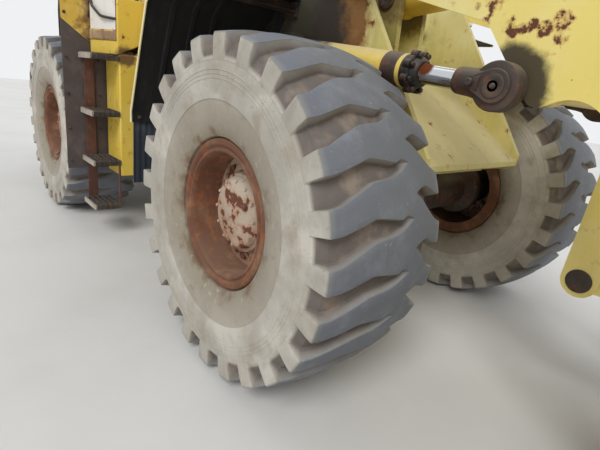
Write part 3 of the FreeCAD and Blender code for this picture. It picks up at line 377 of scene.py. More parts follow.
GREASE = (44, 35, 30)
# SHADE_AND_SOOT is near-black: soot at the lift cylinders' bases, and painted shade on the tower's plates under the
# fenders.
SHADE_AND_SOOT = (40, 35, 32)
ARM_RUST = [(2.0, 1.93, 0.005, 0.035), (2.097, 1.914, 0.03, 0.075), (2.066, 1.876, 0.015, 0.045),
            (2.145, 1.852, 0.02, 0.055), (2.175, 1.826, 0.015, 0.045), (2.211, 1.837, 0.015, 0.04),
            (2.247, 1.853, 0.015, 0.045), (2.302, 1.835, 0.022, 0.055), (2.355, 1.864, 0.025, 0.06),
            (2.366, 1.812, 0.025, 0.055)]
paint_arm = worn_paint("arm_paint", (246, 224, 124), (252, 240, 178), rust=0.1, grime=0.12, seed=3,
                       rusty=[((x, -0.615, z), inner, outer) for x, z, inner, outer in ARM_RUST],
                       greasy=[((x, y, z), 0.12, 0.23, GREASE) for y in (-0.615, 0.615)
                               for x, z in ((2.2, 1.61), (0.86, 2.33), (3.12, 0.42))])
# The tower's two large dark patches low on its plates are painted shade under the fenders; the brown patch high on the
# right plate is partly stain and partly painted shade.
paint_tower = worn_paint("tower_paint", (212, 200, 124), (234, 226, 176), rust=0.15, grime=0.5, seed=11,
                         rusty=[((1.18, -0.60, 1.86), 0.1, 0.3)],
                         greasy=[((1.1, -0.54, 1.9), 0.1, 0.36, (136, 96, 52)),
                                 ((0.4, -0.54, 1.75), 0.6, 0.95, SHADE_AND_SOOT), ((0.4, 0.72, 1.65), 0.5, 0.8, SHADE_AND_SOOT),
                                 ((1.1, 0.0, 2.1), 0.12, 0.3, (120, 104, 62))])
paint_box = worn_paint("box_paint", (234, 200, 82), (248, 226, 138), rust=0.18, grime=0.45, seed=17,
                       rusty=[((-1.1, -1.12, 2.05), 0.05, 0.4)],
                       greasy=[((-0.88, side * 1.06, 1.60), 0.02, 0.14, (104, 76, 46)) for side in (-1, 1)]
                       + [((0.85, side * 0.668, 1.728), 0.2, 0.5, SHADE_AND_SOOT) for side in (-1, 1)])
paint_dark = worn_paint("dark_paint", (70, 66, 62), (92, 87, 80), rust=0.3, grime=0.6, seed=77, dust=0.45, roughness=0.6)
paint_body = worn_paint("body_paint", (234, 196, 74), (246, 220, 130), rust=0.1, grime=0.3, seed=23)


def bucket_finish():
    """Yellow only where nothing rubs: bare steel low down, rust between."""
    finish = Finish("bucket_paint", (206, 168, 74), 0.55, 0.1)
    finish.layer(finish.spots(1.5, 0.4, 0.7, seed=31), (222, 192, 112), 0.6)
    low = finish.maths("SUBTRACT", 1.0, finish.height(0.15, 1.15))
    level = finish.maths("ADD", finish.noise(2.6, seed=33, detail=10), finish.maths("MULTIPLY", low, 0.32))
    finish.layer(finish.times(finish.span(level, 0.56, 0.66), 0.9), (132, 86, 58), 0.85)
    finish.layer(finish.span(level, 0.64, 0.72), (112, 98, 88), 0.5)
    scratches = finish.spots(26, 0.56, 0.64, stretch=(0.06, 1, 1), seed=35)
    finish.layer(finish.times(scratches, finish.span(level, 0.5, 0.7), 0.7), (158, 146, 134), 0.4)
    finish.layer(finish.times(finish.upward(), 0.35), DUST, 0.9)
    return finish.bump(finish.noise(50, seed=31), 0.002).done()


paint_bucket = bucket_finish()
# Pale, almost white yellow: a painted highlight for the lit lip of the front fenders.
paint_fender_highlight = worn_paint("fender_highlight_paint", (240, 226, 168), (250, 244, 214), rust=0.1, grime=0.4, seed=37)
iron_dark = worn_metal("dark_iron", (58, 52, 48), (92, 84, 76), 0.5, 0.3, 0.6, 5)
iron_greasy = worn_metal("greasy_iron", (62, 53, 47), (88, 77, 68), 0.3, 0.1, 0.6, 9, 0.2)
iron_black = worn_metal("black_iron", (34, 31, 30), (58, 52, 48), 0.25, 0.2, 0.45, 13, 0.15)
iron_tread = worn_metal("tread_iron", (92, 86, 80), (150, 142, 130), 0.35, 0.3, 0.65, 19, 0.6)
iron_stringer = worn_metal("stringer_iron", (92, 60, 50), (120, 84, 70), 0.5, 0.1, 0.7, 21, 0.1)
iron_edge = worn_metal("edge_steel", (120, 112, 104), (168, 160, 150), 0.5, 0.8, 0.4, 27, 0.2)
plastic_black = worn_metal("black_plastic", (36, 36, 38), (62, 62, 64), 0.0, 0.0, 0.6, 33, 0.5)
# The guard board's dark brown-grey is partly its own colour and partly painted shade for its forward face.
board_shade = worn_metal("guard_board_shade", (82, 74, 72), (104, 94, 90), 0.12, 0.0, 0.8, 35, 0.1)


# %% [markdown]
# ## Rubber, rod and glass
# The tyre's finish follows a colour attribute on its mesh: red marks the worn tread, green the
# grooves and blue the ring beside the rim. The sidewall is pale with dried mud, the tread blue-grey
# where the ground scrubs it.

# %% Rubber
def rubber_finish():
    finish = Finish("tyre_rubber", (178, 172, 160), 0.88)
    zone = finish.tree.nodes.new("ShaderNodeAttribute")
    zone.attribute_name = "zone"
    split = finish.tree.nodes.new("ShaderNodeSeparateColor")
    finish.put(split.inputs[0], zone.outputs["Color"])
    tread, groove, bead = split.outputs
    finish.layer(finish.spots(3, 0.4, 0.7), (206, 200, 188), 0.92)
    finish.layer(finish.times(finish.spots(9, 0.5, 0.72, seed=4), 0.45), (150, 142, 128))
    finish.layer(finish.times(finish.spots(6, 0.5, 0.72, seed=15, detail=9), 0.5), (156, 143, 124), 0.92)
    finish.layer(finish.times(finish.spots(60, 0.62, 0.7, seed=17), 0.4), (120, 110, 98), 0.92)
    finish.layer(bead, (150, 140, 122), 0.9)
    soiled = finish.maths("ADD", finish.maths("MULTIPLY", bead, 0.5), finish.noise(9, seed=19, detail=10))
    finish.layer(finish.times(finish.span(soiled, 0.9, 1.15), 0.9), (118, 94, 72), 0.92)
    finish.layer(finish.times(bead, finish.spots(26, 0.6, 0.7, seed=21), 0.6), (190, 182, 168), 0.92)
    finish.layer(groove, (112, 104, 98), 0.85)
    finish.layer(finish.times(groove, finish.spots(8, 0.45, 0.7, seed=6)), (146, 132, 120))
    finish.layer(tread, (108, 112, 120), 0.62)
    finish.layer(finish.times(tread, finish.spots(4, 0.45, 0.75, seed=8)), (134, 138, 146), 0.7)
    finish.layer(finish.times(tread, finish.spots(60, 0.66, 0.72, seed=12)), (176, 176, 174), 0.9)
    grain = finish.maths("ADD", finish.noise(120), finish.maths("MULTIPLY", finish.noise(14, seed=2), 1.5))
    return finish.bump(grain, 0.0016).done()


rubber = rubber_finish()


def rod_finish():
    finish = Finish("chromed_rod", (206, 208, 212), 0.16, 1.0)
    finish.layer(finish.spots(30, 0.62, 0.72, detail=8), (150, 132, 110), 0.5)
    for place in ((1.858, -0.70, 1.665), (1.862, 0.64, 1.66)):
        stain = finish.maths("ADD", finish.near(place, 0.012, 0.075), finish.maths("MULTIPLY", finish.noise(25), 0.5))
        finish.layer(finish.span(stain, 0.6, 1.1), (120, 70, 42), 0.8)
    return finish.bump(finish.noise(200), 0.0003).done()


def glass_finish():
    finish = Finish("cab_glass_finish", (226, 236, 230), 0.02)
    finish.layer(finish.times(finish.spots(5, 0.55, 0.8), 0.25), (214, 208, 192), 0.3)
    finish.shader.inputs["Transmission Weight"].default_value = 0.95
    finish.shader.inputs["IOR"].default_value = 1.45
    return finish.done()


chrome = rod_finish()
glass = glass_finish()
rim_paint = worn_paint("rim_paint", (166, 136, 112), (200, 184, 164), rust=0.75, grime=0.7, seed=41, dust=0.3)
rust_ring = worn_metal("rusty_ring", (112, 74, 54), (160, 122, 94), 0.55, 0.05, 0.85, 43, 0.1)
rubber_black = worn_metal("flap_rubber", (46, 52, 60), (74, 80, 88), 0.0, 0.0, 0.7, 47, 0.5)
print("finishes:", len(bpy.data.materials))


# %% [markdown]
# ## Lug tyres
# A loader's tyre has deep lugs that are staggered from side to side. Each groove is wide at the
# shoulder, runs inwards with a kink, narrows, and ends in a small hook past the middle. The tread
# repeats 24 times, so one pitch is modelled with the grooves' outline as its mesh lines, and the
# spin operator copies it round. The grooves' depth is a number on each line: 0 on a lug, 1 on the floor.

# %% One pitch of the tread
RADIUS, HALF = 0.875, 0.3375
PITCH = 15.0
WHEELS = {"front": 1.29, "rear": -2.14}
# Place across the tread (-1 is the outer shoulder), lower and upper edge in degrees, depth.
GROOVE = [(-1.0, 33.0, 41.0, 1), (-0.92, 33.2, 41.1, 1), (-0.84, 33.6, 41.3, 1), (-0.66, 35.5, 42.4, 1),
          (-0.5, 37.1, 43.5, 1), (-0.36, 38.4, 44.4, 1), (-0.24, 38.8, 44.1, 1), (-0.12, 39.0, 43.7, 1),
          (0.0, 39.4, 43.2, 1), (0.1, 40.2, 43.0, 0.95), (0.18, 41.0, 43.9, 0.8), (0.25, 41.9, 43.6, 0.5),
          (0.32, 42.7, 42.9, 0.0), (0.5, 42.4, 42.6, 0), (0.66, 40.4, 40.6, 0), (0.84, 38.2, 38.4, 0),
          (1.0, 36.6, 36.8, 0)]
# The grooves that start at the inner shoulder are short, so the middle stays a broad smooth band.
SHORT_GROOVE = [(-1.0, 33.0, 41.0, 1), (-0.92, 33.5, 41.3, 1), (-0.84, 34.3, 41.9, 1), (-0.72, 36.2, 43.2, 1),
                (-0.62, 38.2, 43.8, 0.9), (-0.54, 39.9, 43.4, 0.7), (-0.46, 41.3, 42.7, 0.4), (-0.4, 41.9, 42.1, 0),
                (0.0, 41.6, 41.8, 0), (0.5, 39.4, 39.6, 0), (1.0, 36.6, 36.8, 0)]
ROWS = sorted({row[0] for row in GROOVE} | {-row[0] for row in SHORT_GROOVE})
BEVEL = 0.42


def at_row(table, place, column):
    """A number of a groove's table at a place across the tread."""
    for low, high in zip(table, table[1:]):
        if low[0] <= place <= high[0]:
            share = (place - low[0]) / (high[0] - low[0])
            return low[column] + (high[column] - low[column]) * share
    return table[-1][column]


def lines_at(place):
    """Angles and depths of the mesh lines over one pitch, at a place across the tread."""
    found = []
    for sign, table, offset in ((1, GROOVE, 0.0), (-1, SHORT_GROOVE, PITCH / 2)):
        low, high, depth = (at_row(table, sign * place, column) for column in (1, 2, 3))
        wall = min(BEVEL, (high - low) / 5)
        middle = (low + high) / 2
        for angle, part in ((low - wall, 0.0), (low - 0.3 * wall, 0.04), (low, 0.15), (low + 0.7 * wall, 0.86),
                            (low + 1.5 * wall, 1.0), (middle, 1.0), (high - 1.5 * wall, 1.0),
                            (high - 0.7 * wall, 0.86), (high, 0.15), (high + 0.3 * wall, 0.04), (high + wall, 0.0)):
            found.append((angle + offset, part * depth))
    # A line along the middle of each lug.
    found.insert(11, ((found[10][0] + found[11][0]) / 2, 0.0))
    found.append(((found[-1][0] + found[0][0] + PITCH) / 2, 0.0))
    found.append((found[0][0] + PITCH, found[0][1]))
    return found


def crown(place):
    return RADIUS - 0.033 * abs(place) ** 2.4


def tread_rows():
    """Sections over the tyre: across, on the lug (y, r), on the floor (y, r), tread share."""
    rows = []
    for place in ROWS:
        top = (place * HALF, crown(place))
        low = (place * (HALF - 0.036 * abs(place) ** 3), crown(place) - 0.044 - 0.008 * abs(place) ** 2)
        rows.append((place, top, low, 1.0 if abs(place) < 0.97 else 0.7))
    side = [((0.3405, 0.832), (0.303, 0.782), 0.0), ((0.3415, 0.806), (0.313, 0.766), 0.0),
            ((0.3415, 0.778), (0.324, 0.752), 0.0), ((0.3405, 0.752), (0.333, 0.738), 0.0),
            ((0.3385, 0.731), (0.3375, 0.7285), 0.0), ((0.333, 0.714), (0.333, 0.714), 0.0),
            ((0.25, 0.70), (0.25, 0.70), 0.0)]
    for top, low, share in side:
        rows.append((1.0, top, low, share))
        rows.insert(0, (-1.0, (-top[0], top[1]), (-low[0], low[1]), share))
    return rows


def tread_pitch():
    """One pitch as a grid: rows across the tyre, lines round it, and its colours."""
    rows = tread_rows()
    points, colours = [], []
    for place, top, low, share in rows:
        for angle, depth in lines_at(place):
            y = top[0] + (low[0] - top[0]) * depth
            radius = top[1] + (low[1] - top[1]) * depth
            turn = math.radians(angle)
            points.append((radius * math.cos(turn), y, radius * math.sin(turn)))
            colours.append((share * (1 - min(1, depth * 4)), min(1, depth * 1.6) * (share > 0 or radius > 0.745), 0, 1))
    width = len(lines_at(0.0))
    faces = []
    for row in range(len(rows)):
        after = (row + 1) % len(rows)
        for line in range(width - 1):
            a, b = row * width + line, after * width + line
            faces.append((a, a + 1, b + 1, b))
    return points, faces, colours


def paint_zones(piece, colours):
    layer = piece.data.attributes.new("zone", "FLOAT_COLOR", "POINT")
    layer.data.foreach_set("color", [number for colour in colours for number in colour])
    piece.data.attributes.active_color = layer


def tyre_tread():
    points, faces, colours = tread_pitch()
    piece = start_piece("tread", points, (), faces)
    bpy.ops.object.mode_set(mode="OBJECT")
    paint_zones(piece, colours)
    bpy.ops.object.mode_set(mode="EDIT")
    bpy.ops.mesh.select_all(action="SELECT")
    bpy.ops.mesh.spin(steps=24, angle=2 * math.pi, center=(0, 0, 0), axis=(0, 1, 0), dupli=True)
    return close_up(piece, 32)


def tyre_wall():
    """Sidewalls, beads and the inside, with three fine ridges and the step beside the rim."""
    half = [(0.0, 0.772), (0.24, 0.768), (0.318, 0.738), (0.3365, 0.722), (0.3385, 0.7)]
    for radius in (0.683, 0.664, 0.645):
        half += [(0.3392, radius + 0.006), (0.3417, radius + 0.004), (0.3417, radius + 0.002), (0.3392, radius)]
    half += [(0.3385, 0.62), (0.3370, 0.59), (0.3335, 0.565), (0.3325, 0.5585), (0.3282, 0.555), (0.327, 0.54),
             (0.322, 0.50), (0.3115, 0.445), (0.298, 0.402), (0.289, 0.388), (0.262, 0.383), (0.258, 0.376),
             (0.258, 0.3225), (0.19, 0.320), (0.18, 0.33), (0.19, 0.40), (0.27, 0.60), (0.22, 0.70), (0.0, 0.71)]
    line = half + [(-y, r) for y, r in reversed(half[1:-1])] + [half[0]]
    piece = turned("wall", line, way=(0, 1, 0), steps=120, angle=24)
    colours = []
    for vertex in piece.data.vertices:
        radius = math.hypot(vertex.co.x, vertex.co.z)
        near_rim = min(max((0.53 - radius) / 0.14, 0.0), 1.0)
        colours.append((0, 0, (0.55 + 0.45 * near_rim) if radius < 0.556 else 0.0, 1))
    paint_zones(piece, colours)
    return piece


master_tyre = joined("tyre_master", [tyre_tread(), tyre_wall()])
print("one tyre:", len(master_tyre.data.polygons), "faces")

# %% [markdown]
# ### Four tyres
# The left tyres are mirror images, and each wheel stands at its own angle, as wheels do. The front
# right one stands as in the photograph.

# %% Four tyres
WHEEL_TURN = {("front", "right"): 0.0, ("front", "left"): 5.0, ("rear", "right"): 9.0, ("rear", "left"): 3.0}
for (end, word), turn in WHEEL_TURN.items():
    side = dict(SIDES)[word]
    place = Matrix.Translation((WHEELS[end], side * 1.1, RADIUS)) @ Matrix.Rotation(math.radians(turn), 4, "Y")
    tyre = copied(master_tyre, f"lug_tyre_{end}_{word}", place @ (MIRROR if side > 0 else Matrix()))
    fit(tyre, f"wheel_{end}_{word}", rubber, "tyre_rubber", f"tyre_{end}_{word}")
bpy.data.objects.remove(master_tyre)


# %% [markdown]
# ## Rims and hubs
# The rim is a rolled ring with a loose flange and a lock ring, and a dished disc. The hub holds a
# planetary drive under a round cover with bolts and a plug. All of it is a turned line, and the
# bolts are one model copied round.

# %% One rim
def bolt(name, radius, height, at, way):
    """A hexagon head on a washer, slightly crowned."""
    bpy.ops.object.select_all(action="DESELECT")
    bpy.ops.mesh.primitive_cylinder_add(vertices=6, radius=radius, depth=height, location=(0, 0, height * 0.65))
    head = bpy.context.object
    bpy.ops.object.transform_apply()
    soften(head, height * 0.16, 1)
    washer = turned("washer", [(0, 0), (0, radius * 1.35), (height * 0.15, radius * 1.35), (height * 0.2, 0)], steps=14)
    piece = joined(name, [head, washer])
    piece.data.transform(along(way, at))
    return piece


def ring_of_bolts(name, count, reach, radius, height, at, way):
    """Bolts round an axis through a point."""
    turn = along(way, at)
    first = bolt(name, radius, height, (reach, 0, 0), (0, 0, 1))
    heads = [first] + [copied(first, name, Matrix.Rotation(2 * math.pi * i / count, 4, "Z")) for i in range(1, count)]
    piece = joined(name, heads)
    piece.data.transform(turn)
    return piece


def rim_master():
    outer = (0, -1, 0)
    barrel = turned("barrel", [
        (-0.284, 0.300), (-0.284, 0.372), (-0.279, 0.379), (-0.268, 0.379), (-0.262, 0.372), (-0.260, 0.33),
        (-0.250, 0.319), (0.228, 0.319), (0.236, 0.324), (0.244, 0.324), (0.247, 0.334), (0.2585, 0.345),
        (0.2595, 0.368), (0.264, 0.377), (0.272, 0.3795), (0.281, 0.377), (0.2855, 0.369), (0.2855, 0.352),
        (0.279, 0.342), (0.274, 0.338), (0.274, 0.331), (0.281, 0.327), (0.281, 0.317), (0.272, 0.311),
        (0.255, 0.305), (-0.270, 0.303), (-0.284, 0.300)], way=outer, steps=72, angle=28)
    disc = turned("disc", [
        (0.060, 0.0906), (0.060, 0.205), (0.070, 0.235), (0.080, 0.302), (0.085, 0.3045), (0.105, 0.3045),
        (0.110, 0.300), (0.112, 0.26), (0.122, 0.238), (0.122, 0.222), (0.135, 0.216), (0.165, 0.204),
        (0.172, 0.192), (0.186, 0.184), (0.196, 0.172), (0.200, 0.150), (0.204, 0.09), (0.212, 0.072),
        (0.214, 0.02), (0.2145, 0.0), (0.188, 0.0), (0.188, 0.0906), (0.060, 0.0906)], way=outer, steps=72, angle=28)
    nuts = ring_of_bolts("nuts", 20, 0.252, 0.014, 0.018, (0, -0.112, 0), outer)
    cover = ring_of_bolts("cover_bolts", 12, 0.168, 0.009, 0.010, (0, -0.196, 0), outer)
    plug = bolt("plug", 0.016, 0.014, (0.1, -0.204, 0.06), outer)
    for part, finish in ((barrel, rust_ring), (disc, rim_paint), (nuts, rust_ring), (cover, rim_paint),
                         (plug, rust_ring)):
        part.data.materials.append(finish)
    return joined("rim_master", [barrel, disc, nuts, cover, plug])


master_rim = rim_master()
for (end, word), turn in WHEEL_TURN.items():
    side = dict(SIDES)[word]
    place = Matrix.Translation((WHEELS[end], side * 1.1, RADIUS)) @ Matrix.Rotation(math.radians(turn * 3), 4, "Y")
    rim = copied(master_rim, f"rim_{end}_{word}_dressed", place @ (MIRROR if side > 0 else Matrix()))
    fit(rim, f"wheel_{end}_{word}", None, "rim_rust", f"rim_{end}_{word}")
bpy.data.objects.remove(master_rim)
print("wheels done")


# %% [markdown]
# ## Hydraulic cylinders
# Every rod is chromed steel with a forged eye. The barrel ends in a gland, a black block held by a
# ring of bolts. The lift rod's pin is held by a drop-shaped keeper plate with one bolt, and a grease
# nipple sits in the middle of the pin.

# %% Rods, glands and eyes
def gland_block(name, base, way, rod, barrel, head, reach):
    """The barrel's end: a turned core, and lobes that each hold a bolt."""
    size = reach / 0.094
    core = reach - 0.013 * size
    def line(*points):
        return [(head - back * size, radius) for back, radius in points]
    parts = [turned(name + "_core", line(
        (0.084, rod + 0.0006), (0.084, barrel * 0.96), (0.08, barrel + 0.001), (0.062, barrel + 0.001),
        (0.059, core - 0.003), (0.055, core), (0.034, core), (0.03, core - 0.004), (0.027, rod + 0.026 * size),
        (0.006, rod + 0.018 * size), (0.0, rod + 0.01 * size), (0.0, rod + 0.0006), (0.084, rod + 0.0006)),
        base, way, 40)]
    lobe = turned("lobe", line((0.06, 0), (0.06, 0.014 * size), (0.056, 0.019 * size), (0.03, 0.019 * size),
                               (0.026, 0.015 * size), (0.026, 0)), steps=20)
    head_of_bolt = bolt("gland_bolt", 0.0125 * size, 0.015 * size, (0, 0, head - 0.026 * size), (0, 0, 1))
    lobe = joined("lobe", [lobe, head_of_bolt])
    frame_at = along(way, base)
    for i in range(8):
        turn = Matrix.Rotation(2 * math.pi * (i + 0.5) / 8, 4, "Z") @ Matrix.Translation((reach - 0.0195 * size, 0, 0))
        parts.append(copied(lobe, "lobe", frame_at @ turn))
    bpy.data.objects.remove(lobe)
    return parts


def cylinder(name, base, eye, across, bodies, rod, barrel, gland, head, start, foot, eye_radius, eye_half):
    """Dress one cylinder: barrel with gland, and rod with its eye, between two pins."""
    base, eye = Vector(base), Vector(eye)
    way = (eye - base).normalized()
    reach = (eye - base).length
    across = Vector(across)
    shell = turned(name + "_tube", [
        (foot, rod + 0.0006), (foot, barrel * 0.9), (foot + 0.015, barrel), (head - 0.1, barrel),
        (head - 0.1, rod + 0.0006), (foot, rod + 0.0006)], base, way, 40)
    neck = turned(name + "_neck", [(0.02, 0), (0.02, barrel * 0.58), (foot + 0.004, barrel * 0.58), (foot + 0.004, 0)],
                  base, way, 30)
    lug = turned(name + "_base", [
        (-eye_half, 0.046), (-eye_half, eye_radius - 0.006), (-eye_half + 0.006, eye_radius),
        (eye_half - 0.006, eye_radius), (eye_half, eye_radius - 0.006), (eye_half, 0.046), (-eye_half, 0.046)]
        if eye_radius > 0.06 else [(-eye_half, 0.0305), (-eye_half, eye_radius), (eye_half, eye_radius),
                                   (eye_half, 0.0305), (-eye_half, 0.0305)], base, across, 36)
    weld = turned(name + "_weld", [(foot - 0.002, barrel * 0.7), (foot + 0.004, barrel * 0.93), (foot + 0.012, barrel * 0.97),
                                   (foot + 0.012, barrel * 0.7), (foot - 0.002, barrel * 0.7)], base, way, 40)
    fit(joined(name + "_tube_dressed", [shell, neck, lug, weld]), bodies[0], paint_box, "dark_steel")
    band = turned(name + "_yellow_band", [(head - 0.104, rod + 0.0006), (head - 0.104, barrel + 0.0008),
                                          (head - 0.084, barrel + 0.0008), (head - 0.084, rod + 0.0006),
                                          (head - 0.104, rod + 0.0006)], base, way, 40)
    fit(band, bodies[0], paint_box, "dark_steel")
    sleeve = turned(name + "_sleeve", [(head - 0.205, rod + 0.0006), (head - 0.205, barrel + 0.001), (head - 0.2, barrel + 0.0016),
                                       (head - 0.116, barrel + 0.0016), (head - 0.112, barrel + 0.001),
                                       (head - 0.112, rod + 0.0006), (head - 0.205, rod + 0.0006)], base, way, 40)
    fit(sleeve, bodies[0], iron_greasy, "dark_steel")
    fit(joined(name + "_gland_dressed", gland_block(name, base, way, rod, barrel, head, gland)), bodies[0], iron_black,
        "dark_steel", name + "_barrel")
    stick = turned(name + "_stick", [
        (start, 0), (start, rod), (reach - eye_radius * 1.15, rod), (reach - eye_radius * 1.15, 0)],
        base, way, 40)
    fit(stick, bodies[1], chrome, "rod_chrome", name + "_rod")
    collar = turned(name + "_collar", [
        (reach - eye_radius * 1.9, rod + 0.0005), (reach - eye_radius * 1.9, rod + 0.008),
        (reach - eye_radius * 1.8, rod + 0.012), (reach - eye_radius * 1.2, rod + 0.014),
        (reach - eye_radius * 0.6, rod + 0.022), (reach - eye_radius * 0.6, rod - 0.02),
        (reach - eye_radius * 1.9, rod + 0.0005)], base, way, 40)
    rod_eye = turned(name + "_eye", [
        (-eye_half, 0), (-eye_half, eye_radius - 0.012), (-eye_half + 0.004, eye_radius - 0.003),
        (-eye_half + 0.012, eye_radius), (eye_half - 0.012, eye_radius), (eye_half - 0.004, eye_radius - 0.003),
        (eye_half, eye_radius - 0.012), (eye_half, 0)], eye, across, 48)
    return base, eye, way, [collar, rod_eye]


def keeper(name, eye, way, out, half):
    """A drop-shaped plate over a pin: a disc and a bolted tail, with a nipple in a shallow cup."""
    side = Vector(way).cross(Vector(out)).normalized()
    face = eye + Vector(out) * half
    corners = []
    for step in range(25):
        turn = math.radians(-118 + step * 236 / 24)
        corners.append(face + way * (0.068 * math.cos(turn)) + side * (0.068 * math.sin(turn)))
    for step in range(9):
        turn = math.radians(118 + step * 124 / 8)
        corners.append(face - way * 0.098 + way * (0.026 * math.cos(turn)) + side * (0.026 * math.sin(turn)))
    plate = slab(name, corners, Vector(out) * 0.014, 0.004)
    cup = turned(name + "_cup", [(0.0, 0), (0.0, 0.05), (0.018, 0.048), (0.02, 0.044), (0.019, 0.03),
                                 (0.014, 0.022), (0.014, 0.012), (0.016, 0.010), (0.026, 0.008), (0.028, 0.0)],
                 face, out, 32)
    screw = bolt(name + "_bolt", 0.018, 0.02, face - way * 0.098 + Vector(out) * 0.014, out)
    return [plate, cup, screw]


LIFT = {"rod": 0.045, "barrel": 0.078, "gland": 0.102, "head": 0.985, "start": 0.2, "foot": 0.06,
        "eye_radius": 0.1, "eye_half": 0.044}
TILT = {"rod": 0.048, "barrel": 0.092, "gland": 0.098, "head": 0.9, "start": 0.22, "foot": 0.06,
        "eye_radius": 0.085, "eye_half": 0.086}
STEER = {"rod": 0.028, "barrel": 0.05, "gland": 0.05, "head": 0.615, "start": 0.345, "foot": 0.07,
         "eye_radius": 0.048, "eye_half": 0.03}
for word, side in SIDES:
    out = Vector((0, side, 0))
    base, eye, way, parts = cylinder(f"lift_cylinder_{word}", (0.85, side * 0.668, 1.728), (2.2, side * 0.668, 1.61),
                                     out, (f"lift_barrel_{word}", f"lift_rod_{word}"), **LIFT)
    parts += keeper(f"keeper_{word}", eye, way, out, 0.044)
    fit(joined(f"lift_rod_eye_{word}", parts), f"lift_rod_{word}", iron_greasy, "dark_steel")
    base, eye, way, parts = cylinder(f"steering_cylinder_{word}", (-1.15, side * 0.44, 0.99), (-0.16, side * 0.42, 0.99),
                                     (0, 0, 1), (f"steering_barrel_{word}", f"steering_rod_{word}"), **STEER)
    fit(joined(f"steering_rod_eye_{word}", parts), f"steering_rod_{word}", iron_greasy, "dark_steel")
base, eye, way, parts = cylinder("tilt_cylinder", (1.1, 0, 2.1), (2.415, 0, 2.256), (0, 1, 0),
                                 ("tilt_barrel", "tilt_rod"), **TILT)
fit(joined("tilt_rod_eye", parts), "tilt_rod", iron_greasy, "dark_steel")
print("cylinders done")


# %% [markdown]
# ## Sheet metal
# A fender or a guard is pressed from thin sheet, with its edge turned in so that it is stiff and has
# no sharp rim. So it is one section with a turned lip, carried along a line of corners and arcs.

# %% Lines, sections and plates
def rounded(corners, closed=False, steps=6):
    """Corners (a, b) or (a, b, radius) as a line of points, with arcs at the rounded ones."""
    path = []
    count = len(corners)
    for i, corner in enumerate(corners):
        point = Vector(corner[:2])
        if len(corner) == 2 or not (closed or 0 < i < count - 1):
            path.append(point)
            continue
        before = (Vector(corners[i - 1][:2]) - point).normalized()
        after = (Vector(corners[(i + 1) % count][:2]) - point).normalized()
        half = before.angle(after) / 2
        middle = point + (before + after).normalized() * (corner[2] / math.sin(half))
        first = point + before * (corner[2] / math.tan(half)) - middle
        last = point + after * (corner[2] / math.tan(half)) - middle
        turn = first.angle_signed(last)
        for step in range(steps + 1):
            path.append(middle + Matrix.Rotation(-turn * step / steps, 2) @ first)
    return path


def swept(name, path, section, angle=35):
    """Carry a closed section of (y, depth) along a line of (x, z); depth goes to the line's right."""
    points = []
    for i, point in enumerate(path):
        sides = []
        for a, b in ((path[max(i - 1, 0)], point), (point, path[min(i + 1, len(path) - 1)])):
            if (b - a).length > 1e-6:
                way = (b - a).normalized()
                sides.append(Vector((way.y, -way.x)))
        inwards = (sides[0] + sides[-1]) / 2
        inwards = inwards / inwards.length_squared
        points += [(point.x + inwards.x * depth, y, point.y + inwards.y * depth) for y, depth in section]
    size = len(section)
    faces = [tuple(range(size)), tuple(range(len(points) - size, len(points)))]
    for i in range(len(path) - 1):
        for j in range(size):
            a, b = i * size + j, i * size + (j + 1) % size
            faces.append((a, b, b + size, a + size))
    return close_up(start_piece(name, points, (), faces), angle)


def plate(name, corners, low, high, edge=0.004):
    """An upright plate from (x, z) corners, between two distances along Y."""
    return slab(name, [(x, low, z) for x, z in rounded(corners, True)], (0, high - low, 0), edge)


def level_plate(name, corners, low, high, edge=0.004):
    """A level plate from (x, y) corners, between two heights."""
    return slab(name, [(x, y, low) for x, y in rounded(corners, True)], (0, 0, high - low), edge)


def cross_plate(name, corners, low, high, edge=0.004):
    """A plate across the machine from (y, z) corners, between two distances along X."""
    return slab(name, [(low, y, z) for y, z in rounded(corners, True)], (high - low, 0, 0), edge)


def bolts(name, places, radius, height, way):
    """Like bolts at several places, all facing one way."""
    first = bolt(name, radius, height, (0, 0, 0), way)
    heads = [copied(first, name, Matrix.Translation(place)) for place in places]
    bpy.data.objects.remove(first)
    return joined(name, heads)


def between(low, high, count):
    """Evenly spread numbers, ends included."""
    return [low + (high - low) * i / (count - 1) for i in range(count)]


# %% [markdown]
# ## Front fenders and mud flaps
# The fender's outer skin is painted pale, a painted highlight on the thin bright lip that is all of it the camera sees.
# What fills the picture behind the tyre is the fender's inner face, painted almost black as shade, with streaks of road
# dirt that rain has combed down. A second thin sheet inside the skin carries that finish. The flap below is ribbed
# rubber.

# %% Inner face finish: painted shade with dirt streaks
def streaked(name, colour, light, seed):
    finish = Finish(name, colour, 0.85)
    finish.layer(finish.times(finish.spots(22, 0.5, 0.75, stretch=(1, 1, 0.05), seed=seed), 0.8), light, 0.9)
    finish.layer(finish.times(finish.spots(3, 0.5, 0.75, seed=seed + 3), 0.4), light, 0.9)
    finish.layer(finish.times(finish.spots(90, 0.64, 0.7, seed=seed + 5), 0.5), GRIME, 0.95)
    return finish.bump(finish.noise(60, seed=seed, stretch=(1, 1, 0.2)), 0.002).done()


# The near-black base is painted shade on the fender's inner face; the lighter streaks and specks are dirt.
shaded_underside = streaked("fender_underside", (27, 25, 25), (48, 44, 42), 51)

# %% Fenders
FENDER_LINE = [(0.127, 1.18), (0.127, 1.257), (0.384, 1.898), (0.56, 2.04, 0.12), (1.05, 2.04)]
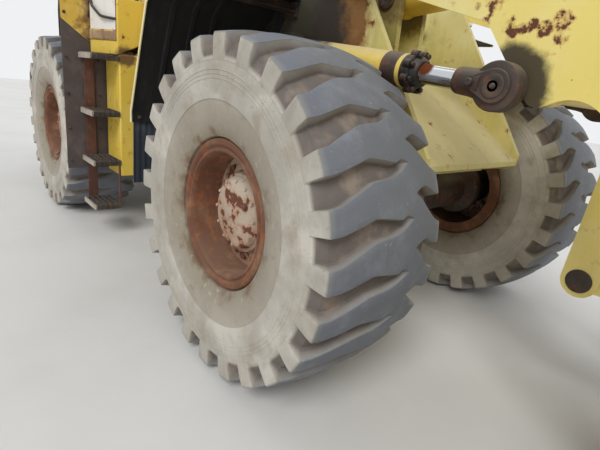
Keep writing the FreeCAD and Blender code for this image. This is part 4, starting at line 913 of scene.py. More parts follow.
# One more splash sheet closes the back of the tower, between the two fenders; it is dark with painted shade.
middle = swept("splash_middle", rounded(FENDER_LINE[:3] + [(0.552, 2.02)]),
               [(-0.54, 0.001), (0.54, 0.001), (0.54, 0.0075), (-0.54, 0.0075)])
fit(middle, "front_frame", shaded_underside, "fender_grey")
for word, side in SIDES:
    path = rounded(FENDER_LINE)
    outer = [(0.78, 0), (1.4, 0), (1.4, 0.02), (1.394, 0.02), (1.394, 0.0042), (0.78, 0.0042)]
    # The pale skin carries the painted highlight, and the liner below it carries the painted shade.
    skin = swept(f"fender_skin_{word}", path, [(side * y, depth) for y, depth in outer])
    fit(skin, "front_frame", paint_fender_highlight, "body_yellow", "front_fenders")
    inner = [(0.784, 0.0046), (1.3935, 0.0046), (1.3935, 0.0078), (0.784, 0.0078)]
    parts = [swept(f"fender_liner_{word}", path[:-1] + [Vector((1.048, 2.04))],
                   [(side * y, depth) for y, depth in inner])]
    # Ribs pressed into the liner, and the angle that ties the fender to the tower.
    for y in (0.95, 1.09, 1.23):
        rib = [(y - 0.02, 0.0076), (y + 0.02, 0.0076), (y + 0.012, 0.018), (y - 0.012, 0.018)]
        parts.append(swept("rib", rounded([(0.2, 1.44), (0.384, 1.898), (0.56, 2.04, 0.12), (0.98, 2.04)]),
                           [(side * a, depth) for a, depth in rib]))
    # A dark plate of painted shade fills the angle between the fender and the tower's rear edge, over the tower's
    # plate.
    shade_gusset = [(0.129, 1.19), (0.129, 1.257), (0.386, 1.896), (0.57, 2.036), (0.66, 2.036), (0.60, 1.95), (0.20, 1.33)]
    parts.append(plate("shade_gusset", shade_gusset, *sorted((side * 0.541, side * 0.548)), 0.001))
    # A splash sheet of painted shade closes the gap to the tower, as far forward as the lift cylinder allows.
    parts.append(swept("splash", rounded([(0.127, 1.18), (0.127, 1.257), (0.384, 1.898), (0.56, 2.04, 0.12), (0.74, 2.04)]),
                       [(side * y, depth) for y, depth in ((0.543, 0.001), (0.7838, 0.001), (0.7838, 0.0075), (0.543, 0.0075))]))
    fit(joined(f"fender_liner_{word}", parts), "front_frame", shaded_underside, "fender_grey")
    low, high = sorted((side * 0.54, side * 1.34))
    stay = slab("stay", [(0.62, low, 1.966), (0.70, low, 1.966), (0.70, low, 1.978), (0.634, low, 1.978),
                         (0.634, low, 2.031), (0.62, low, 2.031)], (0, high - low, 0), 0.003)
    foot = slab("stay_foot", [(0.60, side * 0.54, 1.93), (0.72, side * 0.54, 1.93), (0.72, side * 0.54, 2.03),
                              (0.60, side * 0.54, 2.03)], (0, side * 0.012, 0), 0.003)
    heads = bolts("stay_bolts", [(x, side * 0.553, z) for x in (0.61, 0.71) for z in (1.945, 2.015)],
                  0.009, 0.009, (0, side, 0))
    fit(joined(f"fender_stay_{word}", [stay, foot, heads]), "front_frame", iron_dark, "dark_steel")


def mud_flap(word, side):
    """Ribbed rubber with a clamping bar and bolts along its top."""
    lean = (0.012, 0.48)
    way = Vector((lean[0], 0, lean[1])).normalized()
    front = Vector((way.z, 0, -way.x))
    foot = Vector((0.1085, 0, 0.762))
    sheet = []
    count = 27
    for i, y in enumerate(between(0.845, 1.375, count * 2)):
        depth = 0.0062 if i % 4 in (1, 2) else 0.0028
        sheet.append((side * y, depth))
    back = [(side * 1.375, -0.0045), (side * 0.845, -0.0045)]
    section = sheet + back
    points = []
    for reach in (0.0, 0.47):
        points += [tuple(foot + way * reach + front * depth + Vector((0, y, 0))) for y, depth in section]
    size = len(section)
    faces = [tuple(range(size)), tuple(range(size, 2 * size))]
    faces += [(j, (j + 1) % size, (j + 1) % size + size, j + size) for j in range(size)]
    flap = close_up(start_piece(f"mud_flap_{word}", points, (), faces), 30)
    fit(flap, "front_frame", rubber_black, "flap_rubber", "mud_flaps")
    low, high = sorted((side * 0.85, side * 1.37))
    bar = block("clamp", (0.126, low, 1.19), (0.134, high, 1.236), 0.003)
    heads = bolts("clamp_bolts", [(0.134, side * y, 1.213) for y in between(0.9, 1.34, 6)], 0.011, 0.01, (1, 0, 0))
    fit(joined(f"flap_clamp_{word}", [bar, heads]), "front_frame", iron_dark, "dark_steel")


for word, side in SIDES:
    mud_flap(word, side)
print("fenders done")


# %% [markdown]
# ## Ladder, boxes and the board behind them
# Each tread is a folded channel with five toothed strips on top, so that a boot holds in the mud. Its
# outer end is painted lighter than the rest, which is dark. The yellow boxes are welded sheet: a door
# below, and above it a chamfered box with a blank white panel, held by a hinged strap.

# %% Ladders
def tread(name, side, top):
    """A folded step with toothed strips."""
    low, high = -1.2195, -0.8805
    inner, outer = 1.1205, 1.3495
    def y(distance):
        return side * distance
    parts = []
    for x in (low, high - 0.006):
        corners = [(x, y(inner), top - 0.05), (x, y(outer), top - 0.05), (x, y(outer), top - 0.008),
                   (x, y(inner), top - 0.008)]
        parts.append(slab("side", corners, (0.006, 0, 0), 0.0015))
    for distance in (inner, outer - 0.006):
        corners = [(low, y(distance), top - 0.05), (high, y(distance), top - 0.05), (high, y(distance), top - 0.008),
                   (low, y(distance), top - 0.008)]
        parts.append(slab("end", corners, (0, side * 0.006, 0), 0.0015))
    for distance in between(inner + 0.004, outer - 0.012, 6):
        teeth = []
        for step in range(18):
            x = low + 0.004 + step * 0.0195
            teeth += [(x, top - 0.012), (x + 0.004, top - 0.0005), (x + 0.011, top - 0.0005), (x + 0.015, top - 0.012)]
        outline = teeth + [(teeth[-1][0], top - 0.04), (low + 0.004, top - 0.04)]
        parts.append(slab("strip", [(x, y(distance), z) for x, z in outline], (0, side * 0.006, 0)))
    for x in between(low + 0.05, high - 0.05, 4):
        parts.append(slab("rung", [(x, y(inner), top - 0.044), (x + 0.01, y(inner), top - 0.044),
                                   (x + 0.01, y(inner), top - 0.03), (x, y(inner), top - 0.03)],
                          (0, side * (outer - inner - 0.002), 0)))
    return joined(name, parts)


def tread_finish():
    """Dark painted steel, dusty on its top edges and lighter at its outer ends."""
    finish = Finish("step_iron", (70, 62, 58), 0.6, 0.2)
    finish.layer(finish.spots(9, 0.42, 0.7, seed=3), (98, 88, 80), 0.65)
    split = finish.tree.nodes.new("ShaderNodeSeparateXYZ")
    finish.put(split.inputs[0], finish.coords)
    reach = finish.maths("ABSOLUTE", split.outputs["Y"])
    # The outer ends are made lighter than the rest.
    ends = finish.span(reach, 1.335, 1.3485)
    finish.layer(finish.times(ends, 0.85), (196, 186, 172), 0.55)
    finish.layer(finish.times(finish.upward(), 0.6), (176, 166, 150), 0.6)
    finish.layer(finish.times(finish.spots(14, 0.55, 0.7, seed=8), 0.6), RUST, 0.85)
    return finish.bump(finish.noise(80), 0.0012).done()


iron_step = tread_finish()
TREAD_TOPS = (0.318, 0.718, 1.145, 1.606)
for word, side in SIDES:
    for index, top in enumerate(TREAD_TOPS):
        fit(tread(f"tread_{word}_{index}", side, top), "rear_frame", iron_step, "ladder_brown", "ladders")
    low, high = sorted((side * 1.222, side * 1.308))
    strip = slab("strip", [(-1.2285, low, 0.27), (-1.2205, low, 0.27), (-1.2205, low, 1.604), (-1.2285, low, 1.604)],
                 (0, high - low, 0), 0.003)
    low, high = sorted((side * 1.1205, side * 1.132))
    strap = slab("strap", [(-0.915, low, 0.27), (-0.885, low, 0.27), (-0.885, low, 0.718), (-0.915, low, 0.718)],
                 (0, high - low, 0), 0.002)
    fit(joined(f"ladder_strip_{word}", [strip, strap]), "rear_frame", iron_stringer, "ladder_brown")


# %% [markdown]
# The board closes the gap in front of the rear tyre. Its upper corner is a separate yellow piece, black
# with soot at its inner end.

# %% Side boxes, platforms and boards
def soiled_paint():
    """Yellow paint that soot and old oil have run over from one end."""
    finish = Finish("sooty_paint", (222, 182, 74), 0.5)
    finish.layer(finish.spots(5, 0.4, 0.7, seed=61), (244, 216, 130), 0.6)
    split = finish.tree.nodes.new("ShaderNodeSeparateXYZ")
    finish.put(split.inputs[0], finish.coords)
    inner = finish.maths("SUBTRACT", 1.0, finish.span(finish.maths("ABSOLUTE", split.outputs["Y"]), 1.16, 1.44))
    level = finish.maths("ADD", finish.maths("MULTIPLY", inner, 0.42), finish.noise(8, seed=63, detail=9))
    finish.layer(finish.times(finish.span(level, 0.6, 0.8), 0.85), (120, 84, 48), 0.75)
    finish.layer(finish.span(level, 0.78, 0.95), (44, 32, 28), 0.85)
    return finish.bump(finish.noise(70), 0.0015).done()


paint_soiled = soiled_paint()
mud = worn_metal("dry_mud", (104, 78, 52), (136, 106, 76), 0.2, 0.0, 0.95, 79, 0.1)
band_tan = worn_metal("band_tan", (176, 150, 116), (208, 186, 150), 0.5, 0.1, 0.7, 69, 0.2)


def ring_edge(name, corners):
    """Four thin bars round a panel."""
    return joined(name, [tube("bar", [a, b], 0.0035, 0, 2) for a, b in zip(corners, corners[1:] + corners[:1])])


panel_white = worn_paint("panel_paint", (236, 232, 224), (246, 242, 234), rust=0.12, grime=0.35, seed=67, dust=0.2)
for word, side in SIDES:
    def y(distance):
        return side * distance
    # Lower box, and on its outer face a door.
    low, high = sorted((y(0.802), y(1.1195)))
    body = block(f"side_box_{word}", (-1.225, low, 0.571), (-0.8805, high, 1.6195), 0.012)
    fit(body, "rear_frame", paint_box, "body_yellow", "side_boxes")
    door = plate("door", [(-1.17, 0.66, 0.02), (-0.93, 0.66, 0.02), (-0.93, 1.53, 0.02), (-1.17, 1.53, 0.02)],
                 *sorted((y(1.117), y(1.1202))), 0.001)
    fit(joined(f"box_door_{word}", [door]), "rear_frame", paint_box, "body_yellow")
    # Upper box: its outer face slants out to the board, its lower edge rises towards the middle.
    def box_ring(x, distance, foot, rise):
        return [(x, y(distance), foot), (x, y(0.807), foot + rise), (x, y(0.807), 2.0495), (x, y(distance), 2.0495)]
    points = box_ring(-0.8805, 1.128, 1.607, 0.16) + box_ring(-1.2335, 1.243, 1.607, 0.1)
    shell = start_piece(f"upper_box_{word}", points, (), [(0, 1, 2, 3), (4, 5, 6, 7), (0, 1, 5, 4), (1, 2, 6, 5),
                                                          (2, 3, 7, 6), (3, 0, 4, 7)])
    close_up(shell)
    soften(shell, 0.008)
    fit(shell, "rear_frame", paint_box, "body_yellow", "platforms")
    face_way = Vector((1.0, y(0.3258), 0)).normalized()

    def on_face(share, out=0.0):
        """A place (x, y) along the slanting face: 0 at its front edge, 1 at the board."""
        return -0.8805 - share * 0.353, y(1.128 + share * 0.115 + out)
    def face_plate(name, low, high, foot, head, out, thick, edge):
        corners = [(*on_face(a, out), z) for a, z in ((low, foot), (high, foot), (high, head), (low, head))]
        return slab(name, corners, (0, side * thick, 0), edge)
    panel = face_plate(f"blank_panel_{word}", 0.05, 0.95, 1.80, 2.04, -0.001, 0.005, 0.0015)
    fit(panel, "rear_frame", panel_white, "body_yellow")
    band = face_plate("band", 0.03, 0.97, 1.728, 1.79, -0.001, 0.007, 0.002)
    lugs = [face_plate("lug", a, a + 0.08, 1.718, 1.802, 0.001, 0.01, 0.003) for a in (0.04, 0.47, 0.88)]
    fit(joined(f"panel_band_{word}", [band, *lugs]), "rear_frame", band_tan, "body_yellow")
    rim = ring_edge(f"panel_edge_{word}", [(*on_face(a, 0.002), z) for a, z in
                                           ((0.04, 1.72), (0.96, 1.72), (0.96, 2.045), (0.04, 2.045))])
    fit(rim, "rear_frame", rust_ring, "body_yellow")
    hose = tube(f"panel_rail_{word}", [(*on_face(0.9, 0.006), 2.05), (*on_face(0.82, 0.02), 1.985), (*on_face(0.45, 0.03), 1.90),
                                      (*on_face(0.1, 0.022), 1.885), (*on_face(0.06, 0.0), 1.885)], 0.011, 0.03, 5)
    fit(hose, "rear_frame", iron_black, "dark_steel")
    # Yellow corner piece on the board, and its dark bolts.
    corner = cross_plate(f"board_corner_{word}", [(y(1.235), 2.035), (y(1.235), 1.69), (y(1.255), 1.695),
                                                  (y(1.466), 1.85, 0.02), (y(1.466), 2.035)], -1.2360, -1.2300, 0.002)
    fit(corner, "rear_frame", paint_soiled, "body_yellow")
    heads = bolts(f"board_bolts_{word}", [(-1.2295, y(1.44), z) for z in (1.9, 2.0)]
                  + [(-1.2355, y(d), z) for d in (1.18, 1.44) for z in (0.66, 0.95, 1.25, 1.55)], 0.01, 0.009, (1, 0, 0))
    fit(heads, "rear_frame", iron_dark, "dark_steel")
    lump = turned("lump", [(0, 0), (0, 0.03), (0.01, 0.028), (0.02, 0.014), (0.023, 0)], steps=9)
    lumps = []
    for i in range(26):
        a, b, c = (abs(math.sin(i * step)) for step in (12.9898, 78.233, 37.719))
        lumps.append(copied(lump, "lump", Matrix.Translation((-0.89 - 0.16 * a, y(0.83 + 0.27 * b), 1.618))
                            @ Matrix.Rotation(i, 4, "Z") @ Matrix.Diagonal((0.5 + c, 0.6 + a * 0.5, 0.5 + b, 1))))
    bpy.data.objects.remove(lump)
    fit(joined(f"mud_{word}", lumps), "rear_frame", mud, "dark_steel")
print("ladders and boxes done")


# %% [markdown]
# ## Rear fenders
# The rear fender is rolled sheet: an upright board in front of the tyre and a top that narrows towards
# the back, so that the tyre's shoulder stays in view. Its edge is turned down. Its dark brown-grey is partly its own
# colour and partly painted shade.

# %% Rear fenders
for word, side in SIDES:
    path = rounded([(-3.04, 1.65), (-2.76, 2.042, 0.2), (-1.5, 2.042, 0.2), (-1.2365, 1.995, 0.06), (-1.2365, 0.585)])
    skin = swept(f"rear_fender_{word}", path, [(side * y, -depth) for y, depth in
                                               ((0.807, 0), (1.47, 0), (1.47, -0.024), (1.462, -0.024),
                                                (1.462, -0.007), (0.807, -0.007))])
    for vertex in skin.data.vertices:
        reach = min(max((-1.245 - vertex.co.x) / 1.8, 0), 1)
        if abs(vertex.co.y) > 1.2:
            vertex.co.y -= side * 0.40 * reach
    fit(skin, "rear_frame", board_shade, "ladder_brown", "rear_fenders")
    heads = bolts(f"fender_bolts_{word}", [(x, side * 0.86, 2.044) for x in between(-2.5, -1.75, 5)],
                  0.011, 0.009, (0, 0, 1))
    fit(heads, "rear_frame", iron_dark, "dark_steel")


# %% [markdown]
# ## The cab
# Rubber seals hold the panes in their openings, and show as a dark bead round every window. A raised
# panel stiffens the roof. The front pane has a wiper, the door a handle. Inside stand the seat, a
# ribbed suspension under it, a console with levers, and dials without words.

# %% Window seals and the roof panel
def ring_tube(name, corners, radius, bend=0.05):
    """A bead along a closed line of corners."""
    path = []
    for i, corner in enumerate(corners):
        point = Vector(corner)
        before = (Vector(corners[i - 1]) - point).normalized()
        after = (Vector(corners[(i + 1) % len(corners)]) - point).normalized()
        for t in (0, 0.3, 0.5, 0.7, 1):
            path.append(point + before * bend * (1 - t) ** 2 + after * bend * t ** 2)
    curve = bpy.data.curves.new(name, "CURVE")
    curve.dimensions = "3D"
    curve.bevel_depth = radius
    curve.bevel_resolution = 3
    spline = curve.splines.new("POLY")
    spline.points.add(len(path) - 1)
    spline.use_cyclic_u = True
    for place, point in zip(spline.points, path):
        place.co = (*point, 1)
    piece = bpy.data.objects.new(name, curve)
    bpy.context.scene.collection.objects.link(piece)
    bpy.ops.object.select_all(action="DESELECT")
    piece.select_set(True)
    bpy.context.view_layer.objects.active = piece
    bpy.ops.object.convert(target="MESH")
    bpy.ops.object.mode_set(mode="EDIT")
    return close_up(bpy.context.object, 50)


def window(axis, place, low, high, sill, top):
    """The four corners of an opening in a wall across X or across Y."""
    corners = ((low, sill), (high, sill), (high, top), (low, top))
    return [(place, a, z) if axis == "x" else (a, place, z) for a, z in corners]


WINDOWS = [("x", -0.262, -0.70, 0.70, 2.13), ("x", -1.698, -0.68, 0.68, 2.69), ("y", -0.798, -1.07, -0.36, 2.46),
           ("y", -0.798, -1.60, -1.16, 2.63), ("y", 0.798, -1.60, -1.16, 2.63)]
seals = [ring_tube("seal", window(*place, 3.37), 0.013) for place in WINDOWS]
fit(joined("window_seals", seals), "rear_frame", rubber_black, "flap_rubber")
seal = ring_tube("door_seal", window("y", 0.8005, -0.994, -0.436, 2.31, 3.294), 0.012)
edge = ring_tube("door_edge", window("y", 0.803, -1.066, -0.364, 2.079, 3.366), 0.005, 0.02)
fit(joined("door_seal", [seal, edge]), "cab_door", rubber_black, "flap_rubber")
panel = block("roof_panel", (-1.56, -0.6, 3.548), (-0.42, 0.6, 3.567), 0.014)
ribs = [block("roof_rib", (-1.7, y - 0.02, 3.548), (-0.26, y + 0.02, 3.558), 0.006) for y in (-0.7, 0.7)]
gutter = ring_tube("roof_gutter", [(-1.735, -0.79, 3.444), (-0.2, -0.79, 3.444), (-0.2, 0.79, 3.444), (-1.735, 0.79, 3.444)],
                   0.012, 0.12)
fit(joined("roof_panel", [panel, *ribs, gutter]), "rear_frame", paint_body, "body_yellow")
hatch = [block("skirt", (-1.5, side * 0.8 - 0.004, 1.78), (-0.5, side * 0.8 + 0.004, 2.02), 0.003) for side in (-1, 1)]
hatch.append(block("skirt", (-0.264, -0.5, 1.78), (-0.256, 0.5, 2.03), 0.003))
heads = [bolts("skirt_bolts", [(x, side * 0.804, z) for x in (-1.46, -1.0, -0.54) for z in (1.81, 1.99)],
               0.01, 0.008, (0, side, 0)) for word, side in SIDES]
front = bolts("skirt_bolts", [(-0.256, y, z) for y in (-0.46, 0, 0.46) for z in (1.81, 2.0)], 0.01, 0.008, (1, 0, 0))
fit(joined("cab_skirt", hatch + heads + [front]), "rear_frame", paint_body, "body_yellow")

# %% Wiper and handle
pivot = turned("wiper_cap", [(0, 0), (0, 0.022), (0.012, 0.02), (0.018, 0.012), (0.018, 0)], (-0.261, 0.05, 2.075), (1, 0, 0), 24)
arm = tube("wiper_arm", [(-0.25, 0.05, 2.075), (-0.247, 0.08, 2.3), (-0.262, 0.14, 2.62)], 0.006, 0.03, 3)
blade = slab("wiper_blade", [(-0.283, 0.10, 2.36), (-0.272, 0.10, 2.36), (-0.268, 0.115, 2.44), (-0.268, 0.165, 2.80),
                             (-0.283, 0.18, 2.88)], (0, 0.008, 0), 0.001)
fit(joined("front_wiper", [pivot, arm, blade]), "rear_frame", iron_black, "dark_steel")
cup = block("handle_cup", (-0.52, 0.798, 2.165), (-0.39, 0.812, 2.235), 0.006)
lever = tube("handle_lever", [(-0.505, 0.808, 2.2), (-0.505, 0.832, 2.2), (-0.405, 0.834, 2.2)], 0.008, 0.015, 3)
fit(joined("door_handle", [cup, lever]), "cab_door", iron_black, "dark_steel")


# %% [markdown]
# ### The seat
# Each pad starts as a rounded form a little smaller than it ends, and is blown up as cloth. The piping
# along its edges comes afterwards, because a remesh would swallow it.

# %% Padded seat
def fabric():
    finish = Finish("seat_cloth", (52, 54, 60), 0.9)
    finish.layer(finish.spots(5, 0.4, 0.7), (78, 78, 82), 0.92)
    weave = finish.tree.nodes.new("ShaderNodeTexWave")
    finish.put(weave.inputs["Vector"], finish.coords)
    weave.inputs["Scale"].default_value = 160
    weave.inputs["Distortion"].default_value = 1.5
    finish.layer(finish.times(weave.outputs["Fac"], 0.35), (104, 102, 100), 0.9)
    finish.layer(finish.times(finish.upward(), 0.3), DUST, 0.95)
    finish.shader.inputs["Sheen Weight"].default_value = 0.3
    return finish.bump(weave.outputs["Fac"], 0.0012).done()


seat_cloth = fabric()


def pad(name, corners, half, cap=0.02):
    """A cushion from (x, z) corners, blown up as cloth, its moves capped."""
    piece = plate(name, corners, -half, half, 0.03)
    start_remesh = piece.modifiers.new("Voxels", "REMESH")
    start_remesh.mode = "VOXEL"
    start_remesh.voxel_size = 0.006
    bpy.context.view_layer.objects.active = piece
    bpy.ops.object.modifier_apply(modifier=start_remesh.name)
    rest = [vertex.co.copy() for vertex in piece.data.vertices]
    cloth = piece.modifiers.new("Cloth", "CLOTH")
    cloth.settings.use_pressure = True
    cloth.settings.uniform_pressure_force = 4
    cloth.settings.effector_weights.gravity = 0
    for step in range(1, 21):
        bpy.context.scene.frame_set(step)
    blown = piece.evaluated_get(bpy.context.evaluated_depsgraph_get())
    moved = [vertex.co.copy() for vertex in blown.data.vertices]
    piece.modifiers.remove(cloth)
    bpy.context.scene.frame_set(1)
    for vertex, before, after in zip(piece.data.vertices, rest, moved):
        step = after - before
        vertex.co = before + step * min(1.0, cap / max(step.length, 1e-6))
    smooth = piece.modifiers.new("Smooth", "SMOOTH")
    smooth.factor, smooth.iterations = 0.5, 8
    bpy.ops.object.modifier_apply(modifier=smooth.name)
    bpy.ops.object.shade_smooth()
    return piece


def piping(name, corners, y):
    """Sewn piping round a pad's edge."""
    return ring_tube(name, [(x, y, z) for x, z in corners], 0.006, 0.045)


SEAT = [("seat_cushion", [(-1.385, 2.315), (-0.895, 2.315), (-0.895, 2.415), (-1.385, 2.415)], 0.245),
        ("seat_backrest", [(-1.385, 2.42), (-1.305, 2.42), (-1.425, 3.02), (-1.495, 3.02)], 0.225)]
for name, corners, half in SEAT:
    cushion = pad(name, corners, half)
    fit(cushion, "rear_frame", seat_cloth, "seat_fabric", "operator_seat")
    edges = joined(name + "_piping", [piping("piping", corners, side * (half - 0.004)) for side in (-1, 1)])
    fit(edges, "rear_frame", rubber_black, "seat_fabric")
bellows = turned("bellows", [(0.0, 0), (0.0, 0.175), (0.012, 0.185), (0.03, 0.155), (0.05, 0.185), (0.07, 0.155),
                             (0.09, 0.185), (0.11, 0.155), (0.13, 0.185), (0.15, 0.155), (0.17, 0.185), (0.19, 0.16),
                             (0.205, 0.17), (0.205, 0)], (-1.14, 0, 2.04), (0, 0, 1), 40, 30)
foot = block("seat_foot", (-1.33, -0.17, 2.001), (-0.95, 0.17, 2.045), 0.008)
pan = block("seat_pan", (-1.37, -0.22, 2.24), (-0.91, 0.22, 2.305), 0.012)
arms = [tube("armrest", [(-1.42, y, 2.45), (-1.40, y, 2.62), (-1.05, y, 2.64)], 0.022, 0.06, 4) for y in (-0.272, 0.272)]
fit(joined("seat_base", [bellows, foot, pan, *arms]), "rear_frame", plastic_black, "console_plastic")

# %% Console, levers and dials
box_side = plate("lever_console", [(-1.4, 2.001), (-0.86, 2.001), (-0.86, 2.36, 0.04), (-1.0, 2.46, 0.05), (-1.4, 2.46, 0.04)],
                 -0.52, -0.34, 0.012)
levers = []
for index, x in enumerate((-1.0, -1.07, -1.14)):
    levers.append(tube("lever", [(x, -0.43, 2.45), (x + 0.02, -0.43, 2.62)], 0.006, 0, 3))
    levers.append(turned("knob", [(0, 0), (0, 0.008), (0.01, 0.018), (0.03, 0.022), (0.045, 0.016), (0.05, 0)],
                         (x + 0.02, -0.43, 2.61), (0, 0, 1), 20))
fit(joined("lever_console", [box_side, *levers]), "rear_frame", plastic_black, "console_plastic")
cowl = plate("dial_cowl", [(-0.46, 2.44), (-0.35, 2.44), (-0.33, 2.60, 0.03), (-0.37, 2.66, 0.03), (-0.50, 2.56)], -0.3, 0.3, 0.01)
fit(cowl, "rear_frame", plastic_black, "console_plastic")
dial_face = worn_metal("dial_face", (225, 222, 214), (205, 200, 190), 0.0, 0.0, 0.3, 71, 0.2)
dial_way = Vector((-0.10, 0, 0.13)).normalized()
dials = []
for y, radius in ((-0.2, 0.035), (-0.1, 0.045), (0.0, 0.045), (0.1, 0.045), (0.2, 0.035)):
    at = Vector((-0.435, y, 2.61))
    dials.append(turned("dial", [(0, 0), (0, radius), (0.008, radius), (0.01, radius - 0.004), (0.005, radius - 0.007),
                                 (0.005, 0)], at, dial_way, 28))
fit(joined("dials", dials), "rear_frame", dial_face, "console_plastic")
print("cab done")


# %% [markdown]
# ## Hood, grille and tail
# The engine hood is sheet with doors on both sides: each has a raised panel, rows of pressed louvres to
# let the heat out, hinges above and latches below. Behind the grille's slats stand upright bars, and
# the radiator's fins.

# %% Hood doors with louvres
DOORS = [([(-2.74, 2.08), (-1.84, 2.08), (-1.84, 2.48), (-2.74, 2.48)], (-2.68, -2.32)),
         ([(-3.72, 2.08), (-2.80, 2.08), (-2.80, 2.48), (-3.32, 2.48), (-3.72, 2.28)], (-3.2, -2.86))]
for word, side in SIDES:
    for index, (corners, (low, high)) in enumerate(DOORS):
        leaf = plate("leaf", [(x, z, 0.03) for x, z in corners], *sorted((side * 0.698, side * 0.707)), 0.003)
        slats = []
        for z in between(2.13, 2.40, 9):
            for start in (low, low + 0.44) if index == 0 else (low, low - 0.40):
                slats.append(slab("louvre", [(start, side * 0.7065, z), (start, side * 0.722, z + 0.002),
                                             (start, side * 0.7075, z + 0.022)], (high - low, 0, 0)))
        hinges = [turned("hinge", [(0, 0), (0, 0.011), (0.09, 0.011), (0.09, 0)], (x, side * 0.714, 2.487), (1, 0, 0), 12)
                  for x in (corners[0][0] + (0.5 if index else 0.12), corners[1][0] - 0.22)]
        latch = [turned("latch", [(0, 0), (0, 0.024), (0.008, 0.022), (0.01, 0.012), (0.018, 0.01), (0.018, 0)],
                        (x, side * 0.706, 2.105), (0, side, 0), 20) for x in (corners[0][0] + 0.15, corners[1][0] - 0.15)]
        fit(joined(f"hood_door_{word}_{index}", [leaf, *slats]), "rear_frame", paint_body, "body_yellow")
        fit(joined(f"hood_fittings_{word}_{index}", hinges + latch), "rear_frame", iron_black, "dark_steel")
top_panel = block("hood_panel", (-3.2, -0.56, 2.557), (-1.86, 0.56, 2.566), 0.004)
seam = [block("seam", (x - 0.012, -0.69, 2.557), (x + 0.012, 0.69, 2.568), 0.004) for x in (-1.8, -3.26)]
fit(joined("hood_top_panel", [top_panel, *seam]), "rear_frame", paint_body, "body_yellow")


# %% Grille bars and radiator
def fins():
    finish = Finish("radiator_fins", (38, 37, 36), 0.5, 0.6)
    wave = finish.tree.nodes.new("ShaderNodeTexWave")
    wave.bands_direction = "Y"
    finish.put(wave.inputs["Vector"], finish.coords)
    wave.inputs["Scale"].default_value = 60
    finish.layer(wave.outputs["Fac"], (82, 80, 76), 0.6)
    finish.layer(finish.times(finish.spots(6, 0.5, 0.75), 0.6), DUST, 0.95)
    return finish.bump(wave.outputs["Fac"], 0.003).done()


bars = [tube("bar", [(-3.951, y, 1.5), (-3.951, y, 2.1)], 0.005, 0, 2) for y in between(-0.49, 0.49, 21)]
fit(joined("grille_bars", bars), "rear_frame", iron_black, "dark_steel")
fit(block("radiator_core", (-3.91, -0.53, 1.47), (-3.87, 0.53, 2.12), 0.006), "rear_frame", fins(), "dark_steel")
PLATE_BOLTS = [(x, side * y, 1.325) for side in (-1, 1) for y in (0.5, 0.95) for x in (-4.22, -4.06)]
fit(bolts("counterweight_bolts", PLATE_BOLTS, 0.026, 0.014, (0, 0, 1)), "rear_frame", iron_dark, "dark_steel")
eyes = [tube("eye", [(-4.1, y - 0.06, 1.325), (-4.1, y - 0.06, 1.40), (-4.1, y + 0.06, 1.40), (-4.1, y + 0.06, 1.325)],
             0.016, 0.05, 4) for y in (-0.8, 0.8)]
ridge = [block("ridge", (-4.3, low, 1.328), (-3.97, low + 0.05, 1.345), 0.006) for low in (-1.1, 1.05)]
fit(joined("lifting_eyes", eyes + ridge), "rear_frame", iron_dark, "dark_steel")

# %% Exhaust and air cleaner
muffler = turned("muffler", [
    (0.0, 0), (0.0, 0.13), (0.008, 0.13), (0.01, 0.095), (0.02, 0.095), (0.026, 0.106), (0.03, 0.11), (0.20, 0.11),
    (0.212, 0.106), (0.222, 0.09), (0.235, 0.062), (0.25, 0.0595), (0.598, 0.0595), (0.605, 0.06), (0.612, 0.0595),
    (0.612, 0.054), (0.3, 0.054), (0.3, 0)], (-2.6, 0.33, 2.561), (0, 0, 1), 40)
straps = [turned("strap", [(z, 0.1095), (z, 0.1125), (z + 0.02, 0.1125), (z + 0.02, 0.1095), (z, 0.1095)],
                 (-2.6, 0.33, 2.561), (0, 0, 1), 40) for z in (0.06, 0.15)]
screws = bolts("strap_screw", [(-2.6, 0.4425, 2.561 + z) for z in (0.07, 0.16)], 0.008, 0.01, (0, 1, 0))
fit(joined("exhaust", [muffler, *straps, screws]), "rear_frame", rust_ring, "dark_steel", "exhaust_stack")
cleaner = turned("cleaner", [
    (0.0, 0), (0.0, 0.085), (0.008, 0.085), (0.01, 0.058), (0.13, 0.058), (0.142, 0.075), (0.15, 0.125), (0.158, 0.136),
    (0.17, 0.1385), (0.178, 0.132), (0.23, 0.132), (0.238, 0.139), (0.25, 0.139), (0.29, 0.12), (0.315, 0.08),
    (0.327, 0.03), (0.328, 0)], (-2.35, -0.33, 2.561), (0, 0, 1), 48)
vanes = []
vane = slab("vane", [(0.131, -0.002, 0.18), (0.137, -0.002, 0.18), (0.137, -0.002, 0.228), (0.131, -0.002, 0.228)], (0, 0.004, 0))
for i in range(24):
    vanes.append(copied(vane, "vane", Matrix.Translation((-2.35, -0.33, 2.561)) @ Matrix.Rotation(math.radians(15 * i), 4, "Z")))
bpy.data.objects.remove(vane)
knob = turned("wing_nut", [(0, 0), (0, 0.016), (0.006, 0.014), (0.0095, 0.006), (0.0095, 0)], (-2.35, -0.33, 2.882), (0, 0, 1), 16)
fit(joined("air_precleaner", [cleaner, *vanes, knob]), "rear_frame", iron_black, "dark_steel", "air_cleaner")

